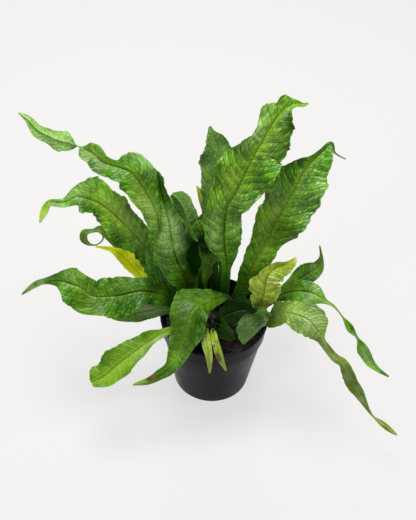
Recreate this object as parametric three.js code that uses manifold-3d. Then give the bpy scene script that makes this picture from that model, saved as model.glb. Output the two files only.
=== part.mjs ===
// A potted strap fern in a black plastic nursery pot. Millimetres, +Z up, -Y towards the plant's front.
// The pot's base is centred on the origin.
import * as THREE from 'three';
import { mergeVertices } from 'three/addons/utils/BufferGeometryUtils.js';
import Module from 'manifold-3d';

const wasm = await Module();
wasm.setup();

// Pot
const POT_HEIGHT = 102;
const RIM_RADIUS = 60;
const BASE_RADIUS = 42;
const WALL = 1.6;
const FLOOR = 2.4;
const BAND_HEIGHT = 21;         // the stiff band below the rim
const BAND_STEP = 1.6;          // how far the band stands out from the body below it
const LIP_HEIGHT = 2.6;
const LIP_STEP = 0.8;
const BASE_ROUND = 3;
const EDGE_BEVEL = 0.5;         // at the rim, and where the lip and the band begin
const DRAIN_COUNT = 8;
const DRAIN_RADIUS = 4.5;
const DRAIN_CIRCLE = 31;
const DRAIN_SIDES = 16;
const POT_SIDES = 48;

// Potting mix and rootstock
const MIX_LEVEL = 86;           // height of the mix above the pot's underside
const MIX_CROWN = 3;            // how much higher the mix stands in the middle
const MIX_ROUGHNESS = 1.2;
const MIX_SIDES = 32;
const CLEARANCE = 0.3;          // gap between pieces that touch
const ROOTSTOCK_RADIUS = 5;
const ROOTSTOCK_SIDES = 8;
const ROOTSTOCK_SPACING = 7;    // between the rings of its stem
const ROOTSTOCK_RISE = 0.5;     // how far its middle lies above the mix
const KNOB = 0.1;               // how much the stem's radius swells and shrinks
const KNOB_TURN = 2.3;          // the knobs' shift from ring to ring, and from side to side
const KNOB_SIDE = 1.9;

// Fronds
const STALK_COLLAR = 16;        // length of the straight foot of a stalk, part of it in the mix
const STALK_STEEPNESS = 0.7;    // how much steeper than its frond a stalk leaves the mix
const STALK_THICKNESS = 2.8;
const STALK_ROUNDNESS = 0.88;   // how much thinner a stalk is at its two edges; 1 brings them to a point
const STALK_END = 0.16;         // share of a frond's length where its stalk starts to widen
const BLADE_START = 0.34;       // share where the blade is fully open
const HOLE_RADIUS = 2.4;
const HOLE_SIDES = 8;
const BLADE_THICKNESS = 0.9;
const LEAST_WIDTH = 0.6;        // half width of a blade at its thinnest twist
const MIDRIB_THICKNESS = 2.2;
const FULL_RIB_WIDTH = 16;      // the midrib thins out where the blade is narrower than this
const LEAST_STATIONS = 9;
const STATION_SPACING = 13;
const WAVE_LENGTH = 41;         // one wave of a blade's edge
const WAVE_RISE = 0.17;         // height of an edge wave, as a share of the half width
const WAVE_SIDE = 1.9;          // how far the two edges' waves are out of step, in radians each way
const WAVE_SHIFT = 2.4;         // from one frond's waves to the next one's, in radians
const SCALLOP = 0.04;           // how much the half width swells and shrinks along the edge
const SCALLOP_RATE = 1.7;       // scallops to a wave
const SCALLOP_SIDE = 2.1;       // how far the two edges' scallops are out of step, in radians each way
const ACROSS = [-1, -0.5, 0, 0.5, 1];   // places across a blade, from edge to edge

// Colours of the pieces
const POT_BLACK = 0x26262a;
const MIX_BROWN = 0x2e2118;
const ROOTSTOCK_BROWN = 0x5a3d22;
const LEAF = {
  mid: 0x3f7a22, bright: 0x6ea031, pale: 0x86b04e, yellow: 0xb4bd2b, deep: 0x2c5a1c, lime: 0x94ad3d,
};

// The fronds. Each row of a route is a point on the midrib, from the foot of the stalk to the tip: x, y
// and z, the blade's width to the left and to the right of it, seen on the upper face with the tip away,
// and where that face looks: the compass turn from +X, and the tilt above level, both in degrees. Fold is
// how far each half of the blade is raised from flat. A row that differs from it ends with its own two folds.
const FRONDS = [
  { name: 'frond_tall_back', tone: 'mid', fold: 20, route: [
    [8, 10, 80, 1.6, 1.6, -90, 20],
    [10, 12, 127, 5, 5, -90, 20],
    [11, 20, 161, 6, 5, -90, 25, 34, 34],
    [8, 26, 177, 12, 15, -90, 28, 34, 34],
    [6, 30, 194, 23, 21, -90, 30, 30, 34],
    [6, 36, 210, 25, 19, -90, 32, 24, 34],
    [8, 42, 225, 22, 20, -95, 35, 18, 30],
    [17, 48, 242, 27, 23, -95, 40, 14, 20],
    [25, 56, 261, 32, 33, -100, 40, 12, 10],
    [35, 66, 283, 19, 29, -100, 42, 12, 8],
    [40, 70, 290, 13, 29, -100, 43, 14, 9],
    [44, 75, 298, 13, 28, -100, 44, 16, 10],
    [50, 81, 307, 17, 25, -100, 46, 18, 14],
    [55, 87, 313, 18, 21, -100, 48, 18, 16],
    [60, 92, 316, 11, 14, -100, 50, 14, 20],
    [66, 97, 319, 12, 6, -90, 60],
    [74, 103, 318, 5, 4, -80, 60],
    [81, 106, 315, 2.6, 2.6, -80, 60],
    [87, 109, 315, 0.8, 0.8, -80, 60]] },
  { name: 'frond_right_back', tone: 'mid', fold: 14, route: [
    [20, 8, 80, 1.6, 1.6, -90, 20],
    [25, 10, 117, 6, 6, -90, 20],
    [32, 16, 137, 10, 10, -90, 25],
    [42, 26, 162, 15, 15, -90, 30],
    [53, 37, 185, 18, 17, -90, 35],
    [60, 45, 200, 24, 28, -95, 37],
    [68, 53, 215, 24, 31, -100, 40],
    [79, 65, 236, 31, 32, -100, 40],
    [88, 75, 253, 17, 30, -100, 42],
    [96, 81, 262, 6, 23, -100, 44],
    [104, 86, 269, 4, 17, -100, 45],
    [114, 93, 276, 2.6, 5, -95, 50],
    [121, 98, 260, 1.0, 1.0, -80, 60],
    [134, 104, 248, 0.6, 0.6, -80, 60]] },
  { name: 'frond_back', tone: 'deep', fold: 12, route: [
    [-4, 24, 80, 1.6, 1.6, -90, 10],
    [-4, 47, 138, 6, 6, -90, 10],
    [-8, 56, 175, 7, 9, -90, 10],
    [-11, 66, 205, 8, 11, -90, 15],
    [-9, 78, 228, 13, 16, -90, 20],
    [-4, 90, 249, 20, 17, -90, 30],
    [-5, 97, 260, 16, 13, -90, 40],
    [-9, 102, 268, 11, 10, -90, 40],
    [-12, 106, 274, 6, 3, -90, 42],
    [-15, 110, 278, 1.6, 1.6, -90, 45]] },
  { name: 'frond_back_small', tone: 'lime', fold: 10, route: [
    [-12, 26, 80, 1.4, 1.4, -90, 10],
    [-10, 60, 159, 4, 4, -90, 20],
    [-15, 70, 189, 4, 4, -90, 20],
    [-20, 78, 206, 4, 4, -90, 25],
    [-26, 84, 216, 0.9, 0.9, -90, 30]] },
  { name: 'frond_left_long', tone: 'mid', fold: 12, route: [
    [-16, 14, 80, 1.6, 1.6, -90, 20],
    [-41, 14, 124, 7, 7, -90, 20],
    [-51, 20, 152, 19, 10, -90, 25],
    [-57, 27, 172, 22, 13, -85, 32],
    [-62, 35, 188, 14, 15, -80, 36],
    [-68, 44, 211, 14, 19, -80, 40],
    [-81, 54, 232, 18, 23, -75, 45, 6, 12],
    [-95, 62, 248, 19, 22, -80, 50, 4, 14],
    [-106, 66, 251, 16, 17, -80, 50, 2, 16],
    [-111, 68, 251, 15, 8, -80, 50],
    [-116, 70, 251, 14, 6, -80, 50],
    [-126, 74, 251, 15, 8, -80, 50],
    [-135, 80, 255, 12, 11, -85, 50],
    [-145, 86, 257, 11, 9, -85, 50],
    [-153, 92, 257, 1.5, 1.5, 90, 45],
    [-163, 98, 256, 6, 8, 90, -40],
    [-175, 106, 252, 12, 12, 90, -45],
    [-188, 114, 251, 8, 9, 90, -45],
    [-203, 124, 252, 6, 8, 90, -45],
    [-214, 132, 259, 4, 4, 90, -45],
    [-225, 139, 262, 0.9, 0.9, 90, -45]] },
  { name: 'frond_left_upper', tone: 'mid', fold: 12, route: [
    [-24, 18, 80, 1.6, 1.6, -80, 30],
    [-51, 22, 122, 9, 4, -80, 30],
    [-66, 30, 149, 16, 11, -80, 40],
    [-82, 36, 172, 16, 16, -80, 45],
    [-99, 38, 193, 25, 17, -80, 50],
    [-114, 38, 212, 19, 20, -80, 50],
    [-127, 38, 224, 14, 21, -85, 50],
    [-136, 37, 230, 15, 26, -85, 50],
    [-143, 36, 234, 18, 21, -90, 55],
    [-151, 35, 235, 11, 9, -90, 60],
    [-163, 31, 230, 6, 5, -100, 60],
    [-178, 28, 231, 5, 3, -120, 45],
    [-183, 21, 224, 4, 4, -120, 35],
    [-187, 13, 216, 0.8, 0.8, -120, 30]] },
  { name: 'frond_left_curled', tone: 'pale', fold: 6, route: [
    [-30, 16, 80, 1.4, 1.4, -80, 30],
    [-74, 34, 124, 4, 4, -80, 30],
    [-102, 42, 153, 6, 6, -80, 40],
    [-125, 48, 176, 5, 5, -80, 45],
    [-137, 48, 176, 2.2, 2.2, -60, 70],
    [-146, 47, 173, 4, 4, -60, 50],
    [-147, 46, 164, 4, 4, -60, 10],
    [-142, 46, 157, 2.2, 2.2, -60, -10],
    [-134, 46, 156, 1.1, 1.1, -60, -30],
    [-127, 47, 162, 0.9, 0.9, -60, -30],
    [-126, 48, 169, 0.8, 0.8, -60, -30],
    [-129, 48, 176, 0.7, 0.7, -60, -30]] },
  { name: 'frond_left_yellow', tone: 'yellow', fold: 10, route: [
    [-28, 8, 80, 1.4, 1.4, -80, 30],
    [-73, 22, 120, 3, 3, -80, 30],
    [-86, 27, 136, 7, 8, -80, 40],
    [-102, 32, 154, 8, 9, -80, 45],
    [-114, 35, 161, 4, 3, -80, 50],
    [-123, 37, 161, 2.2, 2.2, -80, 50],
    [-134, 39, 161, 0.9, 0.9, -80, 50]] },
  { name: 'frond_left_level', tone: 'mid', fold: 8, route: [
    [-14, 2, 80, 1.6, 1.6, -80, 60],
    [-43, -2, 120, 5, 5, -80, 60],
    [-58, -6, 136, 13, 15, -85, 55],
    [-79, -10, 145, 14, 15, -85, 50],
    [-102, -14, 141, 26, 20, -85, 50],
    [-120, -15, 138, 21, 20, -85, 48],
    [-133, -14, 138, 21, 18, -85, 45],
    [-146, -11, 147, 24, 15, -85, 45],
    [-155, -8, 148, 20, 19, -85, 45],
    [-163, -6, 149, 13, 14, -90, 45],
    [-172, -4, 148, 6, 8, -90, 45],
    [-184, -1, 143, 3, 4, -90, 45],
    [-196, 1, 135, 3, 4, -90, 45],
    [-211, -4, 124, 0.9, 0.9, -90, 45]] },
  { name: 'frond_left_under', tone: 'deep', fold: 8, route: [
    [-20, -6, 80, 1.4, 1.4, -80, 60],
    [-44, -5, 111, 4, 4, -90, 50],
    [-62, -3, 110, 8, 9, -90, 40],
    [-80, 2, 99, 10, 10, -90, 35],
    [-96, 3, 88, 6, 7, -90, 32],
    [-110, 2, 84, 1.1, 1.1, -90, 30]] },
  { name: 'frond_front_left', tone: 'bright', fold: 10, route: [
    [-14, -10, 80, 1.6, 1.6, -90, 60],
    [-32, -28, 111, 4, 4, -90, 60],
    [-48, -40, 116, 4, 5, -100, 60],
    [-65, -52, 115, 5, 10, -110, 50],
    [-81, -64, 109, 10, 15, -110, 45],
    [-99, -74, 98, 15, 18, -110, 45],
    [-113, -82, 87, 12, 15, -110, 45],
    [-122, -86, 83, 8, 14, -110, 45],
    [-127, -88, 81, 4, 5, -110, 45]] },
  { name: 'frond_front', tone: 'mid', fold: -10, route: [
    [6, -4, 80, 1.6, 1.6, -90, 60],
    [14, 4, 126, 3, 4, -60, 80],
    [-1, -8, 137, 9, 11, -70, 70],
    [-12, -17, 141, 13, 18, -78, 62],
    [-19, -26, 143, 17, 28, -84, 56],
    [-26, -37, 140, 20, 22, -90, 50],
    [-29, -52, 130, 18, 17, -90, 40],
    [-35, -66, 116, 12, 13, -90, 32],
    [-43, -78, 104, 8, 7, -95, 30],
    [-55, -82, 92, 5, 6, -98, 36],
    [-67, -86, 87, 4, 4, -100, 40],
    [-83, -90, 84, 0.8, 0.8, -100, 40]] },
  { name: 'frond_centre_left', tone: 'mid', fold: 30, route: [
    [-8, 0, 80, 1.6, 1.6, -90, 20],
    [-27, 0, 137, 9, 9, -80, 20],
    [-35, 3, 158, 16, 18, -80, 20],
    [-43, 7, 177, 22, 27, -80, 22, 22, 26],
    [-48, 11, 197, 25, 28, -80, 24, 24, 26],
    [-51, 16, 215, 16, 19, -80, 28, 34, 24],
    [-56, 22, 234, 10, 10, -80, 30, 44, 30],
    [-61, 29, 251, 5, 7, -80, 30, 44, 34],
    [-66, 38, 271, 0.8, 0.8, -80, 30]] },
  { name: 'frond_centre_turned', tone: 'deep', fold: 10, route: [
    [-12, 10, 80, 1.5, 1.5, 90, -10],
    [-31, 36, 147, 6, 6, 90, -20],
    [-34, 45, 170, 8, 8, 90, -30],
    [-33, 52, 187, 11, 15, 90, -40],
    [-38, 57, 204, 12, 17, 90, -40],
    [-45, 60, 216, 11, 13, 90, -40],
    [-52, 62, 222, 2.1, 2.1, 90, -40]] },
  { name: 'frond_centre_small', tone: 'mid', fold: -14, route: [
    [4, 20, 80, 1.5, 1.5, -90, 30],
    [0, 32, 137, 3, 3, -90, 20],
    [-13, 42, 170, 7, 7, -90, 30],
    [-23, 46, 202, 10, 10, -90, 60],
    [-17, 37, 192, 10, 10, -90, 30],
    [-10, 35, 174, 9, 10, -90, 15],
    [-7, 34, 158, 10, 11, -90, 12],
    [-9, 33, 139, 7, 7, -90, 10],
    [-14, 32, 117, 0.9, 0.9, -90, 10]] },
  { name: 'frond_yellow_folded', tone: 'lime', fold: 22, route: [
    [26, -13, 80, 1.5, 1.5, -90, 20],
    [52, -17, 124, 3, 3, -90, 20],
    [51, -17, 133, 5, 5, -90, 24],
    [50, -17, 146, 12, 11, -90, 30],
    [52, -15, 161, 17, 16, -90, 40],
    [52, -12, 171, 17, 17, -92, 45],
    [55, -9, 179, 9, 17, -94, 47],
    [63, -4, 184, 6, 14, -97, 48],
    [73, 2, 183, 4, 9, -100, 50],
    [79, 8, 182, 3, 6, -100, 50],
    [84, 13, 184, 0.9, 0.9, -100, 50]] },
  { name: 'frond_right_back_small', tone: 'mid', fold: 10, route: [
    [30, 6, 80, 1.5, 1.5, -90, 40],
    [77, 16, 134, 5, 5, -90, 45],
    [91, 22, 143, 11, 12, -95, 45],
    [102, 28, 148, 11, 11, -100, 45],
    [111, 32, 154, 7, 8, -110, 40],
    [113, 34, 166, 2.2, 2.2, -120, 30],
    [110, 38, 179, 0.6, 0.6, -120, 30]] },
  { name: 'frond_right_trailing', tone: 'mid', fold: 10, route: [
    [34, 4, 80, 1.5, 1.5, -90, 50],
    [66, -1, 135, 5, 5, -90, 50],
    [80, -3, 147, 12, 14, -95, 55],
    [94, -6, 153, 12, 16, -95, 55],
    [106, -10, 153, 10, 13, -95, 55],
    [117, -14, 148, 2.7, 4, -95, 60],
    [127, -18, 144, 1.4, 1.4, -90, 60],
    [137, -24, 135, 1.0, 1.0, -60, 45],
    [146, -30, 124, 4, 4, -60, 45],
    [155, -34, 113, 1.5, 1.5, -100, 45],
    [163, -40, 103, 5, 8, -100, 40],
    [171, -46, 91, 4, 6, -100, 40],
    [180, -52, 84, 2.7, 3, -95, 45],
    [192, -58, 80, 0.9, 0.9, -95, 45]] },
  { name: 'frond_front_right_trailing', tone: 'pale', fold: -8, route: [
    [28, -8, 80, 1.5, 1.5, -90, 60],
    [55, -10, 105, 4, 5, -90, 60],
    [64, -20, 123, 13, 10, -90, 60],
    [75, -30, 143, 15, 11, -90, 60],
    [87, -38, 149, 15, 16, -95, 55],
    [98, -44, 149, 18, 18, -100, 48],
    [107, -50, 142, 15, 14, -108, 40],
    [114, -56, 134, 2.6, 8, -110, 32],
    [120, -61, 125, 4, 5, -110, 30],
    [129, -65, 115, 4, 5, -110, 30],
    [137, -69, 110, 6, 4, -110, 30],
    [144, -73, 101, 6, 8, -112, 30],
    [152, -79, 87, 6, 8, -115, 30],
    [161, -85, 74, 5, 5, -115, 32],
    [170, -90, 61, 1.7, 2.1, -110, 38],
    [177, -94, 54, 1.1, 1.1, -100, 45],
    [186, -97, 48, 3, 3, -90, 50],
    [195, -101, 43, 2.8, 2.7, -90, 50],
    [203, -105, 39, 0.9, 0.9, -90, 50]] },
  { name: 'frond_rim_right', tone: 'deep', fold: -10, route: [
    [34, -22, 80, 1.4, 1.4, -90, 50],
    [54, -30, 138, 5, 5, -85, 40],
    [47, -35, 134, 10, 11, -85, 30],
    [39, -41, 129, 10, 14, -90, 25],
    [35, -46, 121, 6, 13, -90, 20],
    [32, -50, 112, 1.0, 1.0, -90, 20]] },
  { name: 'frond_rim_small', tone: 'deep', fold: -10, route: [
    [10, -22, 80, 1.4, 1.4, -90, 50],
    [5, -27, 114, 3, 3, -90, 45],
    [11, -34, 114, 8, 8, -90, 40],
    [17, -39, 112, 6, 6, -90, 30],
    [22, -42, 110, 0.9, 0.9, -90, 30]] },
  { name: 'frond_rim_dark', tone: 'deep', fold: 8, route: [
    [13, -9, 80, 1.4, 1.4, -60, 60],
    [4, -18, 112, 4, 5, -80, 50],
    [11, -17, 120, 9, 11, -85, 45],
    [22, -16, 127, 15, 14, -90, 42],
    [33, -16, 130, 13, 12, -90, 42],
    [39, -16, 127, 8, 8, -90, 40],
    [44, -16, 122, 1.0, 1.0, -90, 40]] },
  { name: 'frond_young_left', tone: 'lime', fold: 8, route: [
    [-4, -26, 80, 1.3, 1.3, -90, 60],
    [-10, -30, 113, 4, 4, -90, 50],
    [-8, -50, 116, 5, 5, -90, 20],
    [-4, -63, 106, 4, 4, -90, 10],
    [-2, -69, 84, 0.8, 0.8, -90, 10]] },
  { name: 'frond_young_right', tone: 'lime', fold: 8, route: [
    [4, -28, 80, 1.3, 1.3, -90, 60],
    [-1, -32, 111, 3, 3, -90, 50],
    [3, -55, 115, 4, 4, -90, 20],
    [8, -65, 106, 4, 4, -90, 10],
    [15, -70, 91, 0.7, 0.7, -90, 10]] },
  { name: 'frond_low_back_left', tone: 'deep', fold: 10, route: [
    [-12, 36, 80, 1.6, 1.6, -90, 50],
    [-20, 50, 118, 6, 6, -95, 50],
    [-30, 74, 142, 14, 14, -100, 60],
    [-40, 100, 148, 17, 17, -110, 75],
    [-47, 126, 134, 12, 12, 110, 70],
    [-52, 144, 112, 1, 1, 110, 50]] },
  { name: 'frond_low_back', tone: 'mid', fold: 10, route: [
    [6, 34, 80, 1.6, 1.6, -90, 50],
    [9, 50, 118, 6, 6, -90, 50],
    [12, 72, 141, 13, 13, -90, 60],
    [12, 98, 149, 15, 15, -90, 80],
    [14, 124, 137, 11, 11, 90, 70],
    [16, 142, 118, 1, 1, 90, 50]] },
  { name: 'frond_low_back_right', tone: 'deep', fold: 10, route: [
    [26, 24, 80, 1.6, 1.6, -100, 50],
    [36, 42, 115, 6, 6, -100, 50],
    [46, 62, 136, 13, 13, -100, 60],
    [56, 86, 141, 16, 16, -100, 80],
    [64, 108, 129, 12, 12, 70, 70],
    [69, 122, 110, 1, 1, 70, 50]] },
];

// Where the creeping rootstock lies on the mix: its main stem and two branches.
const ROOTSTOCK_RUNS = [
  [[-37, 11], [-20, 9], [-4, 7], [12, 4], [30, -4]],
  [[-8, 8], [-5, 20], [2, 33], [14, 33], [24, 29]],
  [[0, 6], [2, -8], [5, -21], [-2, -30]],
];

// A closed solid of a geometry, with its shared vertices merged.
function solidOf(geometry) {
  const bare = geometry.clone();
  bare.deleteAttribute('normal');
  bare.deleteAttribute('uv');
  const merged = mergeVertices(bare, 1e-4);
  const mesh = new wasm.Mesh({
    numProp: 3,
    vertProperties: new Float32Array(merged.attributes.position.array),
    triVerts: new Uint32Array(merged.index.array),
  });
  return new wasm.Manifold(mesh);
}

function geometryOf(solid) {
  const mesh = solid.getMesh();
  const geometry = new THREE.BufferGeometry();
  geometry.setAttribute('position', new THREE.BufferAttribute(Float32Array.from(mesh.vertProperties), 3));
  geometry.setIndex(new THREE.BufferAttribute(Uint32Array.from(mesh.triVerts), 1));
  geometry.computeVertexNormals();
  return geometry;
}

// The largest body of a solid, without the crumbs that a cut leaves beside it.
function mainBody(solid) {
  const bodies = solid.decompose();
  return bodies.reduce((best, body) => (body.volume() > best.volume() ? body : best));
}

function plastic(color) {
  return new THREE.MeshStandardMaterial({ color, roughness: 0.45, metalness: 0 });
}

function earth(color) {
  return new THREE.MeshStandardMaterial({ color, roughness: 0.95, metalness: 0 });
}

function leaf(tone) {
  return new THREE.MeshStandardMaterial({ color: LEAF[tone], roughness: 0.42, metalness: 0 });
}

// The pot wall between the base and the band leans out in one straight line.
function bodyRadius(z) {
  const top = POT_HEIGHT - BAND_HEIGHT;
  return BASE_RADIUS + (RIM_RADIUS - LIP_STEP - 2 * BAND_STEP - BASE_RADIUS) * (z / top);
}

function lathed(outline, sides) {
  const points = outline.map(([r, z]) => new THREE.Vector2(r, z));
  return new THREE.LatheGeometry(points, sides).rotateX(Math.PI / 2);
}

// The pot is one thin moulded wall: a flat floor with a ring of drain holes, a leaning body, a stiff band and
// a lip.
function potGeometry() {
  const bandBase = POT_HEIGHT - BAND_HEIGHT;
  const lipBase = POT_HEIGHT - LIP_HEIGHT;
  const bandTop = RIM_RADIUS - LIP_STEP;
  const outline = [
    [0, 0],
    [BASE_RADIUS - BASE_ROUND, 0],
    [BASE_RADIUS - BASE_ROUND * 0.3, BASE_ROUND * 0.3],
    [bodyRadius(BASE_ROUND), BASE_ROUND],
    [bodyRadius(bandBase), bandBase],
    [bodyRadius(bandBase) + BAND_STEP, bandBase + EDGE_BEVEL],
    [bandTop, lipBase - EDGE_BEVEL],
    [RIM_RADIUS, lipBase],
    [RIM_RADIUS, POT_HEIGHT - EDGE_BEVEL],
    [RIM_RADIUS - EDGE_BEVEL, POT_HEIGHT],
    [bandTop - WALL + EDGE_BEVEL, POT_HEIGHT],
    [bandTop - WALL, lipBase - EDGE_BEVEL],
    [bodyRadius(bandBase) + BAND_STEP - WALL, bandBase + EDGE_BEVEL + WALL],
    [bodyRadius(bandBase) - WALL, bandBase + EDGE_BEVEL],
    [bodyRadius(FLOOR) - WALL, FLOOR],
    [0, FLOOR],
  ];
  const wall = solidOf(lathed(outline, POT_SIDES));
  const drains = [];
  for (let i = 0; i < DRAIN_COUNT; i += 1) {
    const turn = ((i + 0.5) / DRAIN_COUNT) * 2 * Math.PI;
    const drain = new THREE.CylinderGeometry(DRAIN_RADIUS, DRAIN_RADIUS, 3 * FLOOR, DRAIN_SIDES);
    drain.rotateX(Math.PI / 2);
    drain.translate(DRAIN_CIRCLE * Math.cos(turn), DRAIN_CIRCLE * Math.sin(turn), FLOOR / 2);
    drains.push(solidOf(drain));
  }
  return geometryOf(wall.subtract(wasm.Manifold.union(drains)));
}

// How high the mix stands at a place: a low crown with lumps.
function mixHeight(x, y) {
  const spread = Math.min(1, Math.hypot(x, y) / BASE_RADIUS);
  const lumps = Math.sin(x * 0.31 + 1.3) * Math.cos(y * 0.27 - 0.6) + 0.6 * Math.sin(x * 0.17 - y * 0.43);
  return MIX_LEVEL + MIX_CROWN * (1 - spread * spread) + MIX_ROUGHNESS * lumps;
}

// The potting mix fills the pot up to its level, with a lumpy top.
function mixGeometry() {
  const foot = FLOOR + CLEARANCE;
  const bandBase = POT_HEIGHT - BAND_HEIGHT;
  const side = (z) => bodyRadius(z) - WALL - 2 * CLEARANCE;
  const edge = side(bandBase);
  const outline = [[0, foot], [side(foot), foot], [edge, bandBase]];
  const rings = [1, 0.98, 0.8, 0.6, 0.4, 0.2];
  for (const share of rings) outline.push([edge * share, MIX_LEVEL]);
  outline.push([0, MIX_LEVEL]);
  const geometry = lathed(outline, MIX_SIDES);
  const place = geometry.attributes.position;
  for (let i = 0; i < place.count; i += 1) {
    if (place.getZ(i) > MIX_LEVEL - 0.1) place.setZ(i, mixHeight(place.getX(i), place.getY(i)));
  }
  return geometry;
}

// One run of the rootstock: a knobbly stem, half sunk in the mix, with round ends.
function rootstockRun(run, spare) {
  const path = smoothCurve(run.map(([x, y]) => new THREE.Vector3(x, y, mixHeight(x, y) + ROOTSTOCK_RISE)));
  const rings = Math.round(path.getLength() / ROOTSTOCK_SPACING);
  const sides = ROOTSTOCK_SIDES;
  const place = [];
  const index = [];
  for (let i = 0; i <= rings; i += 1) {
    const u = i / rings;
    const at = path.getPointAt(u);
    const along = path.getTangentAt(u);
    const across = new THREE.Vector3(-along.y, along.x, 0).normalize();
    const up = new THREE.Vector3().crossVectors(along, across);
    const round = Math.sqrt(Math.max(0.12, 1 - Math.pow(2 * u - 1, 8)));
    for (let k = 0; k < sides; k += 1) {
      const turn = (k / sides) * 2 * Math.PI;
      const knob = 1 + KNOB * Math.sin(i * KNOB_TURN + k * KNOB_SIDE);
      const radius = ROOTSTOCK_RADIUS * round * knob + spare;
      const point = at.clone().addScaledVector(across, radius * Math.cos(turn));
      point.addScaledVector(up, radius * Math.sin(turn));
      place.push(point.x, point.y, point.z);
    }
  }
  for (let i = 0; i < rings; i += 1) {
    for (let k = 0; k < sides; k += 1) {
      const a = i * sides + k;
      const b = i * sides + ((k + 1) % sides);
      index.push(a, b, b + sides, a, b + sides, a + sides);
    }
  }
  closeEnds(place, index, sides, rings);
  return solidOf(meshOf(place, index));
}

function meshOf(place, index) {
  const geometry = new THREE.BufferGeometry();
  geometry.setAttribute('position', new THREE.Float32BufferAttribute(place, 3));
  geometry.setIndex(index);
  return geometry;
}

// Closes the first and last ring of a tube with a fan round the middle of each.
function closeEnds(place, index, sides, rings) {
  for (const [ring, turned] of [[0, true], [rings, false]]) {
    const middle = place.length / 3;
    const sum = [0, 0, 0];
    for (let k = 0; k < sides; k += 1) {
      for (let axis = 0; axis < 3; axis += 1) sum[axis] += place[3 * (ring * sides + k) + axis] / sides;
    }
    place.push(...sum);
    for (let k = 0; k < sides; k += 1) {
      const a = ring * sides + k;
      const b = ring * sides + ((k + 1) % sides);
      if (turned) index.push(middle, b, a);
      else index.push(middle, a, b);
    }
  }
}

function direction(turn, tilt) {
  const level = THREE.MathUtils.degToRad(turn);
  const rise = THREE.MathUtils.degToRad(tilt);
  const reach = Math.cos(rise);
  return new THREE.Vector3(reach * Math.cos(level), reach * Math.sin(level), Math.sin(rise));
}

// The midrib's points. The stalk leaves the mix straight and steeply before it turns towards the blade.
function midribPoints(frond) {
  const points = frond.route.map(([x, y, z]) => new THREE.Vector3(x, y, z));
  const rise = points[1].clone().sub(points[0]).normalize();
  rise.z += STALK_STEEPNESS;
  const collar = points[0].clone().addScaledVector(rise.normalize(), STALK_COLLAR);
  points.splice(1, 0, collar);
  return points;
}

// A frond's row values, with the foot's repeated at the collar, so that they keep step with the midrib's
// points.
function valuesAlong(frond, pick) {
  const values = frond.route.map(pick);
  values.splice(1, 0, values[0].clone());
  return smoothCurve(values);
}

function smoothCurve(points) {
  return new THREE.CatmullRomCurve3(points, false, 'catmullrom', 0.5);
}

function smoothStep(low, high, value) {
  const t = Math.min(1, Math.max(0, (value - low) / (high - low)));
  return t * t * (3 - 2 * t);
}

// A frond is one closed blade that narrows into its stalk. Stations follow the midrib. At each one the upper
// face has five points from edge to edge and the lower face repeats them, so both faces are split alike.
function frondGeometry(frond, number) {
  const midrib = smoothCurve(midribPoints(frond));
  const looks = valuesAlong(frond, ([, , , , , turn, tilt]) => direction(turn, tilt));
  const widths = valuesAlong(frond, ([, , , left, right]) => new THREE.Vector3(left, right, 0));
  const folds = valuesAlong(frond, ([, , , , , , , left = frond.fold, right = frond.fold]) =>
    new THREE.Vector3(left, right, 0).multiplyScalar(THREE.MathUtils.DEG2RAD));
  const length = midrib.getLength();
  const count = Math.max(LEAST_STATIONS, Math.round(length / STATION_SPACING));
  const phase = WAVE_SHIFT * number;
  const place = [];
  for (let i = 0; i <= count; i += 1) {
    const u = i / count;
    const t = midrib.getUtoTmapping(u, 0);
    const stalk = 1 - smoothStep(STALK_END, BLADE_START, u);
    const along = midrib.getTangent(t);
    const face = looks.getPoint(t).addScaledVector(along, -looks.getPoint(t).dot(along)).normalize();
    const across = new THREE.Vector3().crossVectors(along, face);
    const width = widths.getPoint(t);
    const bend = folds.getPoint(t).multiplyScalar(1 - stalk);
    const left = Math.max(LEAST_WIDTH, width.x);
    const right = Math.max(LEAST_WIDTH, width.y);
    const rib = Math.min(1, (left + right) / FULL_RIB_WIDTH) * (MIDRIB_THICKNESS - BLADE_THICKNESS);
    const centre = midrib.getPoint(t);
    const turn = (2 * Math.PI * u * length) / WAVE_LENGTH + phase;
    const upper = [];
    const lower = [];
    for (const v of ACROSS) {
      const side = Math.sign(v);
      const half = v < 0 ? left : right;
      const fold = v < 0 ? bend.x : bend.y;
      const reach = Math.abs(v);
      const scallop = 1 + SCALLOP * reach * Math.sin(SCALLOP_RATE * turn + SCALLOP_SIDE * side);
      const wave = WAVE_RISE * reach * reach * Math.sin(turn + WAVE_SIDE * side);
      const wide = half * v * Math.cos(fold) * scallop;
      const lift = half * (reach * Math.sin(fold) + wave * (1 - stalk));
      const round = 0.5 * STALK_THICKNESS * Math.sqrt(1 - STALK_ROUNDNESS * reach * reach);
      const above = stalk * round;
      const below = stalk * round + (1 - stalk) * (BLADE_THICKNESS + (v === 0 ? rib : 0));
      const point = centre.clone().addScaledVector(across, wide);
      upper.push(point.clone().addScaledVector(face, lift + above));
      lower.push(point.clone().addScaledVector(face, lift - below));
    }
    for (const point of [...upper, ...lower.reverse()]) place.push(point.x, point.y, point.z);
  }
  return meshOf(place, frondFaces(count));
}

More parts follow.
